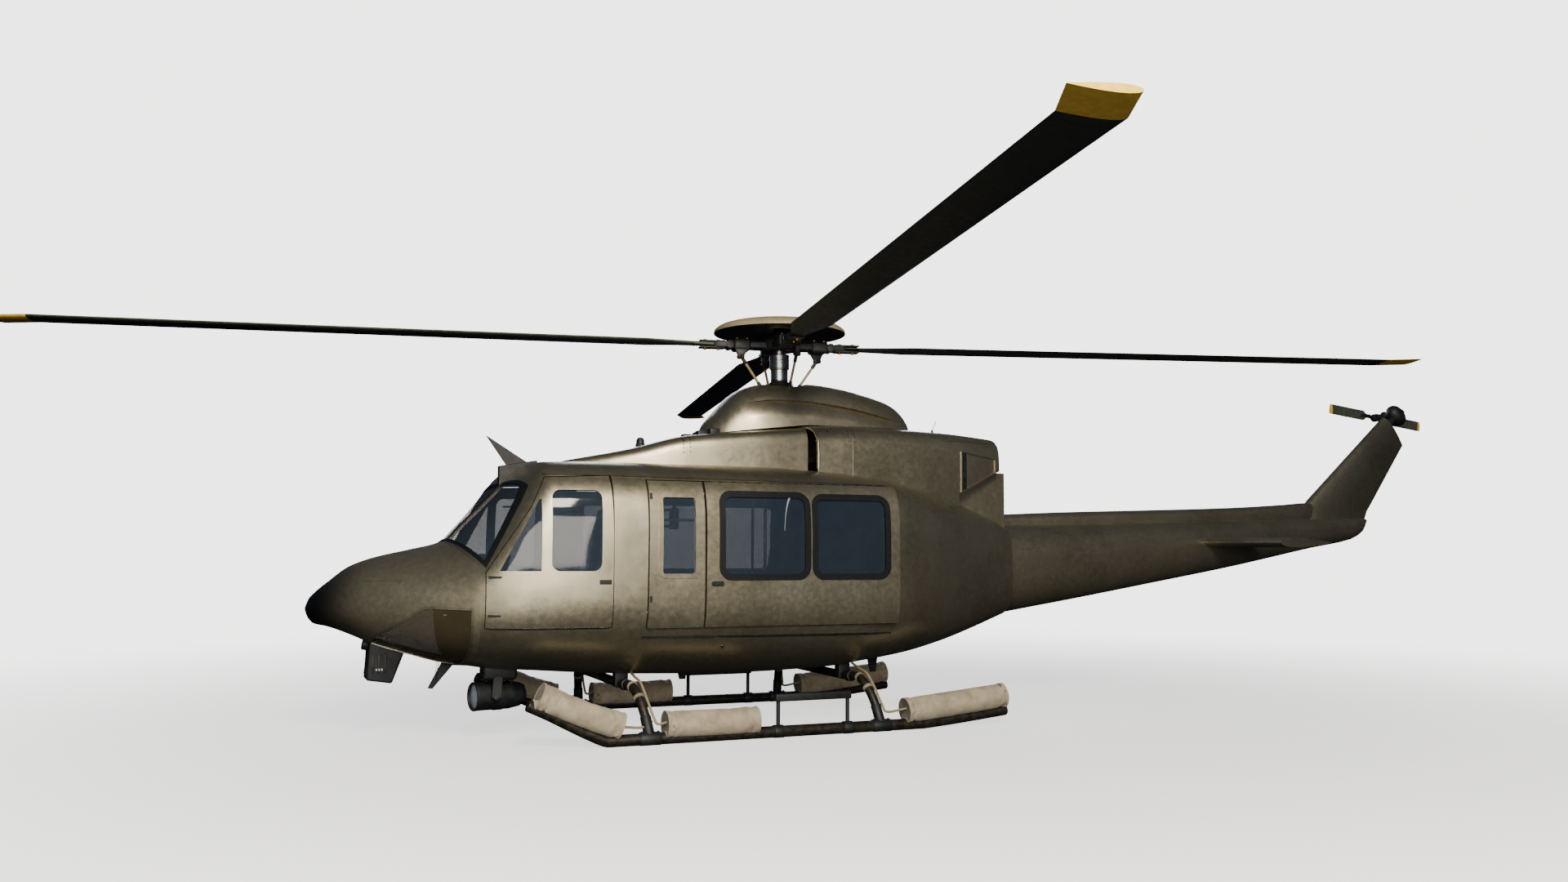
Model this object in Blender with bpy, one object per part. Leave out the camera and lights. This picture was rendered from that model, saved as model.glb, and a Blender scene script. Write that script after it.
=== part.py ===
"""Medium twin-engined utility helicopter on skids, in metres, nose towards -X, port side towards -Y, +Z up.

Shapes are written in mast coordinates: X is measured from the main rotor's axis, Y from the centre plane and
Z from the ground. The empty named airframe_frame carries everything and puts the origin under the middle of
the whole machine.
"""
from math import atan2, cos, hypot, pi, radians, sin

import bmesh
import bpy
from mathutils import Matrix, Vector

# Frame
MAST_X = -1.14
GAP = 0.0003
SEAT_GAP = 0.001
MERGE = 1e-6
PORT = -1
STARBOARD = 1
SIDE_NAMES = {PORT: "port", STARBOARD: "starboard"}
BEYOND = 3.0

# Main body: x, bottom, top, half width, height of the widest line, power above it, power below it
BODY = (
    (-4.295, 1.090, 1.110, 0.010, 1.10, 2.0, 2.0),
    (-4.270, 1.025, 1.180, 0.085, 1.10, 2.0, 2.0),
    (-4.220, 0.975, 1.238, 0.165, 1.10, 2.0, 2.0),
    (-4.120, 0.952, 1.325, 0.280, 1.11, 2.1, 2.1),
    (-3.950, 0.888, 1.455, 0.430, 1.11, 2.2, 2.2),
    (-3.750, 0.800, 1.530, 0.600, 1.12, 2.3, 2.4),
    (-3.450, 0.708, 1.600, 0.830, 1.14, 2.3, 2.6),
    (-3.190, 0.637, 1.667, 1.000, 1.17, 2.4, 2.8),
    (-3.030, 0.615, 1.828, 1.095, 1.20, 2.5, 2.9),
    (-2.830, 0.585, 2.035, 1.180, 1.26, 3.4, 3.0),
    (-2.700, 0.575, 2.178, 1.220, 1.29, 4.4, 3.0),
    (-2.600, 0.569, 2.290, 1.238, 1.31, 4.8, 3.0),
    (-2.500, 0.562, 2.352, 1.255, 1.32, 5.0, 3.0),
    (-2.000, 0.524, 2.367, 1.290, 1.35, 5.0, 3.0),
    (-1.500, 0.498, 2.368, 1.300, 1.35, 5.0, 3.0),
    (-0.600, 0.478, 2.368, 1.300, 1.35, 5.0, 3.0),
    (0.200, 0.500, 2.336, 1.300, 1.35, 5.0, 3.0),
    (0.640, 0.550, 2.290, 1.270, 1.35, 5.0, 3.0),
    (1.050, 0.602, 2.235, 1.150, 1.36, 4.8, 3.0),
    (1.450, 0.683, 2.150, 0.970, 1.38, 4.6, 3.1),
    (1.850, 0.793, 2.045, 0.770, 1.38, 4.4, 3.3),
    (2.310, 0.938, 1.895, 0.575, 1.38, 4.2, 3.4),
)
BODY_AROUND = 32
RADOME_END = -3.93
NOSE_END = -3.03
CABIN_END = 0.62
AFT_END = 2.31
WALL = 0.045
AFT_WALL = 0.075
BULKHEAD_THICK = 0.03
DOOR_PROUD = 0.025
DOOR_SECTION_X = -1.2
DOOR_GAP = 0.007
PANE = 0.006
PANE_DEPTH = 0.012
PANE_LAP = 0.018
WINDOW_CORNER = 0.07

# Side outlines in X and Z
CREW_DOOR = ((-3.000, 0.975), (-2.010, 0.975), (-2.010, 1.700), (-2.026, 2.215), (-2.550, 2.190), (-2.672, 1.932),
             (-3.000, 1.415))
CREW_OPENING = ((-3.007, 0.900), (-2.002, 0.900), (-2.009, 2.2223), (-2.554, 2.197), (-2.678, 1.935), (-3.007, 1.417))
PANEL_DOOR = ((-1.715, 0.960), (-1.229, 0.960), (-1.235, 2.181), (-1.715, 2.181))
SLIDING_DOOR = ((-1.215, 0.960), (0.620, 0.960), (0.620, 2.181), (-1.215, 2.181))
DOOR_LINTEL = 2.189
CREW_QUARTER_WINDOW = ((-2.905, 1.430), (-2.590, 1.430), (-2.590, 2.010), (-2.605, 2.010))
CREW_WINDOW = ((-2.511, 1.430), (-2.105, 1.430), (-2.105, 2.090), (-2.511, 2.090))
CREW_SHEET = ((-2.930, 1.412), (-2.087, 1.412), (-2.087, 2.108), (-2.575, 2.108), (-2.628, 1.995))
PANEL_WINDOW = ((-1.610, 1.400), (-1.310, 1.400), (-1.310, 2.050), (-1.610, 2.050))
SLIDING_WINDOW_FRONT = ((-1.060, 1.395), (-0.305, 1.395), (-0.305, 2.065), (-1.060, 2.065))
SLIDING_WINDOW_REAR = ((-0.200, 1.395), (0.480, 1.395), (0.480, 2.055), (-0.200, 2.055))
SLIDING_SHEET = ((-1.078, 1.377), (0.498, 1.377), (0.498, 2.073), (-0.200, 2.083), (-1.078, 2.083))
CHIN_WINDOW = ((-3.780, 0.600), (-3.090, 0.600), (-3.100, 1.120), (-3.430, 1.130), (-3.780, 0.880))
WINDSCREEN = ((-3.430, 1.980), (-3.005, 1.490), (-2.685, 2.130), (-2.860, 2.560))
WINDSCREEN_LAP = 0.012
NOSE_LINE = ((NOSE_END, 1.445), (-3.43, 1.910))
NOSE_CUT = ((RADOME_END, 0.2), (NOSE_END, 0.2), *NOSE_LINE, (RADOME_END, 1.910))
SILL_FRONT = 0.968
SILL_REAR = 0.953
SILL_STEP_X = -1.86
WINDSCREEN_POST = 0.035
CHIN_GAP_Y = 0.16
OPENING_LOW_Z = 0.900
OPENING_DEPTH_Y = 0.6
REBATE_DEPTH = 0.12
DOOR_POCKET = ((0.5, 0.948), (2.7, 0.948), (2.7, 2.198), (0.5, 2.198))
DOOR_POCKET_DEPTH = 0.029

# Cabin
FLOOR_TOP = 0.930
FLOOR_THICK = 0.035
FLOOR_FRONT_X = -2.98
CARGO_TOP = 0.936
CARGO_PLATE_X = (-1.75, -0.15)
CARGO_HALF = 1.0
FLOOR_HALF = 1.12
CONSOLE = ((-2.95, -0.70, 1.28), (-2.72, 0.70, 1.56))
PEDESTAL = ((-2.80, -0.16, FLOOR_TOP + GAP), (-2.05, 0.16, 1.30))
# Seats: x of the front edge, half width, depth, top of the back, height of the pan above the floor
CREW_SEAT = (-2.45, 0.27, 0.48, 1.95, 0.40)
CREW_SEAT_Y = 0.55
REAR_BENCH = (-0.10, 1.05, 0.45, 1.80, 0.36)
PAN_THICK = 0.11
FOOT_SETBACK = 0.08

# Cowls above the roof: x, top, half width
TRANSMISSION_COWL = ((-2.15, 2.400, 0.30), (-1.60, 2.515, 0.46), (-1.13, 2.640, 0.55), (-0.50, 2.710, 0.60),
                     (0.029, 2.757, 0.62))
ENGINE_COWL = ((0.03, 2.770, 0.86), (0.40, 2.790, 0.87), (1.00, 2.785, 0.84), (1.60, 2.770, 0.76),
               (2.12, 2.740, 0.64))
ENGINE_COWL_CUT = ((0.0, 2.0), (1.58, 1.9), (1.58, 2.16), (2.13, 2.40), (2.6, 2.40), (2.6, 1.0), (0.0, 1.0))
PYLON = ((1.40, 1.80), (2.265, 1.80), (2.265, 2.385), (2.120, 2.385), (1.580, 2.155), (1.40, 2.08))
PYLON_HALF = 0.50
MAST_FAIRING = (
    (-0.810, 2.745, 0.070), (-0.770, 2.810, 0.170), (-0.660, 2.935, 0.280), (-0.520, 3.080, 0.345),
    (-0.400, 3.155, 0.385), (-0.250, 3.200, 0.415), (0.000, 3.230, 0.440), (0.270, 3.230, 0.450),
    (0.600, 3.200, 0.445), (0.810, 3.160, 0.430), (1.060, 3.100, 0.380), (1.195, 3.040, 0.320),
    (1.330, 2.916, 0.220), (1.395, 2.780, 0.110),
)
COWL_BOTTOM = 1.60
COWL_SHOULDER = 0.42
COWL_WALL = 0.022
COWL_BACK_X = 2.095
FAIRING_BOTTOM = 2.2
FAIRING_WIDEST = 2.70
FAIRING_FOOT = ((-3.0, 1.0), (3.0, 1.0), (3.0, 2.82), (0.1, 2.79), (-0.5, 2.725), (-1.13, 2.655), (-3.0, 2.4))
FAIRING_HOLLOW = ((-0.34, -0.30, 1.9), (1.0, 0.30, 3.06))
FAIRING_MOUTH = 0.263
TRANSMISSION_BLOCK = ((-0.24, -0.26, 2.42), (0.50, 0.26, 2.70))
ENGINE_BLOCK = ((0.75, -0.55, 2.42), (1.75, 0.55, 2.66))
EXHAUST_Y = 0.30
EXHAUST_Z = 2.57
EXHAUST_X = (1.70, 2.17)
EXHAUST_BORE_X = 1.90
EXHAUST_RADIUS = 0.115
EXHAUST_BORE = 0.10
EXHAUST_HOLE = 0.122

# Tail: x, bottom, top, half width
BOOM = (
    (2.3103, 0.945, 1.887, 0.505), (2.700, 1.000, 1.890, 0.470), (3.300, 1.085, 1.905, 0.425),
    (4.400, 1.250, 1.935, 0.350), (5.600, 1.435, 1.970, 0.270), (6.800, 1.645, 2.000, 0.190),
    (7.450, 1.750, 2.010, 0.140), (7.640, 1.840, 2.010, 0.110), (7.720, 1.960, 2.010, 0.080),
)
BOOM_WALL = 0.014
COVER_WALL = 0.012
SHAFT_COVER = ((2.311, 1.80, 1.975, 0.175), (3.33, 1.82, 2.022, 0.165), (4.42, 1.85, 2.060, 0.145),
               (5.59, 1.88, 2.105, 0.120), (6.50, 1.92, 2.160, 0.098), (6.80, 1.94, 2.185, 0.085),
               (6.98, 1.95, 2.190, 0.050))
FIN = ((1.90, 6.66, 7.72, 0.20), (2.10, 6.74, 7.81, 0.19), (2.22, 6.86, 7.905, 0.18), (3.35, 8.23, 8.78, 0.10))
FIN_TOP = ((7.60, 3.70), (8.13, 3.27), (8.46, 2.93), (9.60, 1.80), (9.60, 4.50), (7.60, 4.50))
STABILISER_X = (5.00, 5.70)
STABILISER_Z = 1.705
STABILISER_THICKNESS = 0.10
STABILISER_ROOT = 0.05
STABILISER_TIP = 1.43
TAIL_HUB = (8.35, 0.30, 3.30)
TAIL_TIP_RADIUS = 0.775
TAIL_CHORD = 0.125
TAIL_BLADE_SLOPE = -6.0
TAIL_BLADE_THICKNESS = 0.022
# Tail blade: radius, chord
TAIL_BLADE_SECTIONS = ((0.16, 0.05), (0.21, TAIL_CHORD), (TAIL_TIP_RADIUS, TAIL_CHORD))
TAIL_GRIP_RADIUS = 0.022
TAIL_GRIP_REACH = 0.24
TAIL_SHAFT = (0.19, 0.36, 0.05)
GEARBOX_RADIUS = 0.105
GEARBOX_STRETCH = 1.32
GEARBOX_FOOT = (0.145, 0.043)
GEARBOX_OUTPUT = (0.01, 0.175, 0.06)

# Main rotor
ROTOR_Z = 3.595
ROTOR_RADIUS = 7.01
BLADE_ROOT = 0.661
BLADE_THICKNESS = 0.044
BLADE_SECTIONS = ((BLADE_ROOT, 0.13, 0.065), (0.85, 0.17, 0.085), (1.30, 0.38, 0.19), (6.68, 0.38, 0.19),
                  (ROTOR_RADIUS, 0.38, 0.09))
# Each blade's direction and upward bend, in degrees
BLADE_STANCES = ((-11.7, 0.8), (78.4, 0.0), (168.4, 0.0), (259.5, 0.8))
MAST_FOOT_Z = 3.07
MAST_RADIUS = 0.055
HUB_SEAT = 0.0456
# Turned profiles, as radius and height from the rotor's plane
SWASHPLATE = ((0, -0.440), (0.16, -0.440), (0.17, -0.405), (0.12, -0.385), (0.085, -0.345), (0.085, -0.225),
              (0.10, -0.215), (0.10, -0.080), (0, -0.080))
HUB_PROFILE = ((0, -HUB_SEAT), (0.17, -HUB_SEAT), (0.19, -0.020), (0.19, 0.045), (0.12, 0.090), (0.05, 0.165),
               (0, 0.165))
CAP_PROFILE = ((0.0, 0.170), (0.12, 0.170), (0.12, 0.223), (0.30, 0.219), (0.495, 0.203), (0.575, 0.183),
               (0.625, 0.150), (0.635, 0.118), (0.650, 0.123), (0.640, 0.157), (0.585, 0.195), (0.50, 0.218),
               (0.30, 0.233), (0.0, 0.238))
ARM = ((0.05, -0.12), (0.62, -0.075), (0.66, -0.06), (0.66, 0.06), (0.62, 0.075), (0.05, 0.12))
ARM_HALF = 0.03
GRIP = ((0.30, -0.11, -0.055), (0.47, 0.11, 0.055))
HORN = ((0.32, -0.036), (0.38, -0.136), (0.42, -0.136), (0.46, -0.036))
HORN_Y = (0.06, 0.10)
LINK = ((0.40, 0.08, -0.111), (0.192, 0.06, -0.413))
LINK_RADIUS = 0.013
LUG = ((0.42, 0.05, -0.121), (0.38, 0.11, -0.121))
LUG_RADIUS = 0.022
MAST_SPACE = 0.1205

# Landing gear
SKID_Y = 1.18
SKID_RADIUS = 0.05
FRONT_FOOT_X = -1.65
REAR_FOOT_X = 0.50
CROSS_RADIUS = 0.04
# Skid: x and height of its upturned toe, its straight run and its raised heel
SKID_TOE = ((-2.66, 0.365), (-2.50, 0.290), (-2.30, 0.185), (-2.15, 0.110), (-2.00, SKID_RADIUS),
            (-1.80, SKID_RADIUS))
SKID_RUN = (-0.4, 0.85)
SKID_HEEL = ((0.95, 0.051), (1.30, 0.080), (1.80, 0.130))
STEP_BAR_X = (-0.53, 0.195)
STEP_BAR_Z = (0.305, 0.370)
STEP_BAR_HALF = 0.03
STEP_POSTS_X = (-0.50, 0.165)
STEP_POST_RADIUS = 0.02
# Cross tube leg: y, height and lean of its path from the skid up to the belly
CROSS_LEG = ((-SKID_Y, 0.06, 0.0), (-1.13, 0.20, -0.018), (-1.03, 0.36, -0.048), (-0.88, 0.455, -0.072),
             (-0.68, 0.445, -0.078), (-0.40, 0.445, -0.078))
BAG_RADIUS = 0.118
# Packed float bags: x and height of both ends
BAGS = {"front": ((-2.58, 0.435), (-1.90, 0.165)), "middle": ((-1.52, 0.160), (-0.70, 0.160)),
        "rear": ((0.74, 0.170), (1.775, 0.265))}

# Fittings, as side outlines in X and Z and half widths
UPPER_CUTTER = ((-2.837, 2.611), (-2.645, 2.340), (-2.645, 2.150), (-2.40, 2.150), (-2.40, 2.340))
LOWER_CUTTER = ((-3.28, 0.405), (-3.24, 0.400), (-2.99, 0.70), (-3.13, 0.70))
CUTTER_HALF = 0.012
SENSOR_BOX = ((-3.80, 0.500), (-3.59, 0.468), (-3.47, 0.80), (-3.78, 0.95))
SENSOR_HALF = 0.13
LAMP_PLACE = (-2.95, -0.45, 0.37)
LAMP_PROFILE = ((0, -0.02), (0.10, -0.02), (0.115, -0.03), (0.122, -0.01), (0.122, 0.30), (0.10, 0.40),
                (0.06, 0.44), (0, 0.44))
LAMP_BRACKET = ((-2.86, -0.50, 0.44), (-2.68, -0.40, 0.80))

# Door axes
CREW_AXIS = (-3.0, 1.125, 0.975)
PANEL_AXIS = (-1.717, 1.335, 1.35)
SLIDE_AXIS = (0.0, 1.30, 1.35)
PANEL_WINDOW_CORNER = 0.03


def remove_scene_objects():
    for item in list(bpy.data.objects):
        bpy.data.objects.remove(item)


def finish(name, colour, metallic, roughness, alpha=1.0):
    """Principled material from an sRGB colour of 0 to 255 steps."""
    material = bpy.data.materials.new(name)
    material.use_nodes = True
    shader = material.node_tree.nodes["Principled BSDF"]
    linear = [(step / 255.0) ** 2.2 for step in colour]
    shader.inputs["Base Color"].default_value = (*linear, 1.0)
    shader.inputs["Metallic"].default_value = metallic
    shader.inputs["Roughness"].default_value = roughness
    shader.inputs["Alpha"].default_value = alpha
    material.diffuse_color = (*linear, alpha)
    return material


def empty(name, place, parent=None):
    item = bpy.data.objects.new(name, None)
    bpy.context.scene.collection.objects.link(item)
    item.parent = parent
    item.location = place
    return item


def add(name, shape, material, parent):
    """Object from a bmesh in mast coordinates, its origin on its parent's."""
    origin = parent_place(parent)
    bmesh.ops.translate(shape, vec=-origin, verts=shape.verts)
    mesh = bpy.data.meshes.new(name)
    shape.to_mesh(mesh)
    shape.free()
    mesh.shade_smooth()
    mesh.set_sharp_from_angle(angle=radians(35))
    if material:
        mesh.materials.append(material)
    item = bpy.data.objects.new(name, mesh)
    bpy.context.scene.collection.objects.link(item)
    item.parent = parent
    return item


def parent_place(parent):
    """Place of a parent empty in mast coordinates."""
    place = Vector((0, 0, 0))
    while parent is not None and parent.name != "airframe_frame":
        place += parent.location
        parent = parent.parent
    return place


def cutter(name, shape, parent):
    item = add("cut_" + name, shape, None, parent)
    item.display_type = "WIRE"
    item.hide_render = True
    return item


def boolean(item, tool, operation):
    step = item.modifiers.new(operation.lower() + "_" + tool.name, "BOOLEAN")
    step.operation = operation
    step.solver = "EXACT"
    step.object = tool


def cut(item, *tools):
    for tool in tools:
        boolean(item, tool, "DIFFERENCE")


def keep(item, tool):
    boolean(item, tool, "INTERSECT")


def join(item, *tools):
    for tool in tools:
        boolean(item, tool, "UNION")


def smooth(rows, x):
    """Values of a table at x, on a curve through its rows that never overshoots."""
    x = min(max(x, rows[0][0]), rows[-1][0])
    index = max(i for i in range(len(rows) - 1) if rows[i][0] <= x)
    left, right = rows[index], rows[index + 1]
    width = right[0] - left[0]
    t = (x - left[0]) / width
    values = []
    for column in range(1, len(left)):
        start = slope_at(rows, index, column) * width
        end = slope_at(rows, index + 1, column) * width
        a, b = left[column], right[column]
        values.append(a + t * start + t * t * (3 * (b - a) - 2 * start - end)
                      + t * t * t * (2 * (a - b) + start + end))
    return values


def slope_at(rows, index, column):
    """Harmonic mean of the slopes on both sides of a row, or the one slope at an end."""
    slopes = []
    for i in (index - 1, index):
        if 0 <= i < len(rows) - 1:
            slopes.append((rows[i + 1][column] - rows[i][column]) / (rows[i + 1][0] - rows[i][0]))
    if len(slopes) == 1:
        return slopes[0]
    if slopes[0] * slopes[1] <= 0:
        return 0.0
    return 2 * slopes[0] * slopes[1] / (slopes[0] + slopes[1])


def signed_power(value, power):
    return (1 if value >= 0 else -1) * abs(value) ** power


def oval(turn, bottom, top, half, widest, power_top, power_bottom):
    """Point of a superellipse section; turn 0 is at the bottom, 0.25 to port, 0.5 at the top."""
    angle = 2 * pi * turn
    up = cos(angle) < 0
    power = 2.0 / (power_top if up else power_bottom)
    y = -half * signed_power(sin(angle), power)
    reach = (top - widest) if up else (widest - bottom)
    z = widest - reach * signed_power(cos(angle), power)
    return y, z


def inset_oval(turn, inset, values):
    """Section point moved inwards square to the section."""
    y, z = oval(turn, *values)
    if inset == 0:
        return y, z
    step = 0.002
    y0, z0 = oval(turn - step, *values)
    y1, z1 = oval(turn + step, *values)
    ty, tz = y1 - y0, z1 - z0
    length = hypot(ty, tz)
    return y + inset * tz / length, z - inset * ty / length


def body_point(x, turn, inset=0.0):
    y, z = inset_oval(turn, inset, smooth(BODY, x))
    return Vector((x, y, z))


def door_point(x, turn, inset=0.0):
    """Point on the sliding door's skin, whose section is the same all along X."""
    y, z = inset_oval(turn, inset, smooth(BODY, DOOR_SECTION_X))
    return Vector((x, y, z))


def body_stations(start, end):
    inner = [row[0] for row in BODY if start + 0.02 < row[0] < end - 0.02]
    return [start, *inner, end]


def loft(point, stations, around):
    """Closed skin through point(station, turn), with flat ends."""
    shape = bmesh.new()
    rows = len(stations) - 1
    bmesh.ops.create_grid(shape, x_segments=rows, y_segments=around, size=0.5)
    for vert in shape.verts:
        row = round((vert.co.x + 0.5) * rows)
        vert.co = point(stations[row], vert.co.y + 0.5)
    bmesh.ops.triangulate(shape, faces=shape.faces, quad_method="FIXED")
    bmesh.ops.remove_doubles(shape, verts=shape.verts, dist=MERGE)
    rims = [edge for edge in shape.edges if edge.is_boundary]
    bmesh.ops.holes_fill(shape, edges=rims, sides=0)
    bmesh.ops.recalc_face_normals(shape, faces=shape.faces)
    return shape


def layer(point, stations, around, outer, inner):
    """Wall between two insets of a skin, open at both ends of the body."""
    shape = bmesh.new()
    rows = len(stations) - 1
    rings = []
    for inset in (outer, inner):
        before = set(shape.verts)
        bmesh.ops.create_grid(shape, x_segments=rows, y_segments=around, size=0.5)
        rims = {}
        for vert in [v for v in shape.verts if v not in before]:
            row, column = round((vert.co.x + 0.5) * rows), round((vert.co.y + 0.5) * around)
            vert.co = point(stations[row], column / around, inset)
            rims[row, column] = vert
        rings.append(rims)
    bmesh.ops.triangulate(shape, faces=shape.faces, quad_method="FIXED")
    for row in (0, rows):
        for column in range(around):
            shape.faces.new((rings[0][row, column], rings[0][row, column + 1],
                             rings[1][row, column + 1], rings[1][row, column]))
    bmesh.ops.remove_doubles(shape, verts=shape.verts, dist=MERGE)
    bmesh.ops.recalc_face_normals(shape, faces=shape.faces)
    return shape


def prism(outline, low, high, axis="Y"):
    """Outline pulled from low to high along an axis; the outline is in the other two axes, in order."""
    shape = bmesh.new()
    places = {"X": lambda a, b: (low, a, b), "Y": lambda a, b: (a, low, b), "Z": lambda a, b: (a, b, low)}
    verts = [shape.verts.new(places[axis](a, b)) for a, b in outline]
    face = shape.faces.new(verts)
    pulled = bmesh.ops.extrude_face_region(shape, geom=[face])
    moved = [item for item in pulled["geom"] if isinstance(item, bmesh.types.BMVert)]
    shift = {"X": (high - low, 0, 0), "Y": (0, high - low, 0), "Z": (0, 0, high - low)}[axis]
    bmesh.ops.translate(shape, vec=shift, verts=moved)
    bmesh.ops.recalc_face_normals(shape, faces=shape.faces)
    return shape


def block(low, high, bevel=0.0, segments=1):
    """Box between two corners, its edges bevelled."""
    shape = bmesh.new()
    bmesh.ops.create_cube(shape, size=1.0)
    size = Vector(high) - Vector(low)
    bmesh.ops.scale(shape, vec=size, verts=shape.verts)
    bmesh.ops.translate(shape, vec=(Vector(low) + Vector(high)) / 2, verts=shape.verts)
    if bevel:
        bmesh.ops.bevel(shape, geom=shape.edges[:], offset=bevel, offset_type="OFFSET", segments=segments,
                        profile=0.5, affect="EDGES", clamp_overlap=True, material=-1)
    return shape


def cylinder(start, end, radius, sides=16, end_radius=None):
    """Round bar between two points."""
    start, end = Vector(start), Vector(end)
    shape = bmesh.new()
    along = end - start
    bmesh.ops.create_cone(shape, cap_ends=True, segments=sides, radius1=radius,
                          radius2=radius if end_radius is None else end_radius, depth=along.length)
    turn = along.to_track_quat("Z", "Y").to_matrix().to_4x4()
    bmesh.ops.transform(shape, matrix=Matrix.Translation((start + end) / 2) @ turn, verts=shape.verts)
    return shape


def lathe(profile, sides, centre=(0, 0, 0)):
    """Turned shape about Z from (radius, height) pairs that start and end on the axis or close on themselves."""
    shape = bmesh.new()
    verts = [shape.verts.new((r, 0, z)) for r, z in profile]
    edges = [shape.edges.new(pair) for pair in zip(verts, verts[1:])]
    if profile[0][0] > MERGE:
        edges.append(shape.edges.new((verts[-1], verts[0])))
    bmesh.ops.spin(shape, geom=verts + edges, cent=(0, 0, 0), axis=(0, 0, 1), angle=2 * pi, steps=sides,
                   use_merge=True)
    bmesh.ops.remove_doubles(shape, verts=shape.verts, dist=1e-5)
    bmesh.ops.recalc_face_normals(shape, faces=shape.faces)
    bmesh.ops.translate(shape, vec=centre, verts=shape.verts)
    return shape


def spline(points, count):
    """Smooth curve through points, as count + 1 places evenly spread over its spans."""
    points = [Vector(p) for p in points]
    places = []
    for i in range(count + 1):
        s = (len(points) - 1) * i / count
        k = min(int(s), len(points) - 2)
        t = s - k
        before = points[max(k - 1, 0)]
        a, b = points[k], points[k + 1]
        after = points[min(k + 2, len(points) - 1)]
        places.append(0.5 * (2 * a + (b - before) * t + (2 * before - 5 * a + 4 * b - after) * t * t
                             + (3 * a - before - 3 * b + after) * t ** 3))
    return places


def tube(path, radius, sides=12):
    """Round tube along a path in one plane or gently curved, its ends square to it."""
    shape = bmesh.new()
    rings = []
    side = None
    for i, place in enumerate(path):
        along = (path[min(i + 1, len(path) - 1)] - path[max(i - 1, 0)]).normalized()
        if side is None:
            side = along.cross(Vector((0.13, 0.29, 1.0))).normalized()
        side = (side - along * side.dot(along)).normalized()
        other = along.cross(side)
        ring = [shape.verts.new(place + radius * (side * cos(2 * pi * k / sides) + other * sin(2 * pi * k / sides)))
                for k in range(sides)]
        rings.append([shape.edges.new((ring[k], ring[(k + 1) % sides])) for k in range(sides)])
    for first, second in zip(rings, rings[1:]):
        bmesh.ops.bridge_loops(shape, edges=first + second)
    bmesh.ops.holes_fill(shape, edges=[e for e in shape.edges if e.is_boundary], sides=0)
    bmesh.ops.recalc_face_normals(shape, faces=shape.faces)
    return shape


def grow(outline, distance):
    """Outline with every side moved outwards; its points run anticlockwise."""
    grown = []
    count = len(outline)
    for i in range(count):
        before, here, after = (Vector(outline[(i + k) % count]) for k in (-1, 0, 1))
        first, second = (here - before).normalized(), (after - here).normalized()
        out_first, out_second = Vector((first.y, -first.x)), Vector((second.y, -second.x))
        middle = (out_first + out_second) / (1 + out_first.dot(out_second))
        grown.append(tuple(here + middle * distance))
    return grown


def rounded(outline, radius, segments=3):
    """Outline with each corner turned into an arc."""
    points = []
    count = len(outline)
    for i in range(count):
        before, here, after = (Vector(outline[(i + k) % count]) for k in (-1, 0, 1))
        back, ahead = (before - here).normalized(), (after - here).normalized()
        half = back.angle(ahead) / 2
        reach = radius * cos(half) / sin(half)
        centre = here + (back + ahead).normalized() * radius / sin(half)
        start, end = here + back * reach - centre, here + ahead * reach - centre
        first = atan2(start.y, start.x)
        sweep = (atan2(end.y, end.x) - first + pi) % (2 * pi) - pi
        for k in range(segments + 1):
            angle = first + sweep * k / segments
            points.append((centre.x + radius * cos(angle), centre.y + radius * sin(angle)))
    return points


def side_prism(outline, side, low=0.2, high=BEYOND):
    return prism(outline, side * low, side * high)


def glaze(target, name, windows, sheet, side, point, stations, outer, material, parent, low=0.2):
    """Cuts windows and their inner rebate through a panel and sets one pane of the sheet's outline behind them."""
    for index, outline in enumerate(windows):
        cut(target, cutter(f"{name}_opening_{index}", side_prism(outline, side, low), parent))
    rebate_wall = layer(point, stations, BODY_AROUND, outer + PANE_DEPTH, REBATE_DEPTH)
    rebate = cutter(name + "_rebate", rebate_wall, parent)
    keep(rebate, cutter(name + "_rebate_outline", side_prism(sheet, side, low - PANE_LAP), parent))
    cut(target, rebate)
    pane_wall = layer(point, stations, BODY_AROUND, outer + PANE_DEPTH + GAP, outer + PANE_DEPTH + PANE)
    pane = add(name, pane_wall, material, parent)
    pane_outline = side_prism(grow(sheet, -GAP), side, low - PANE_LAP + GAP)
    keep(pane, cutter(name + "_outline", pane_outline, parent))


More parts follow.
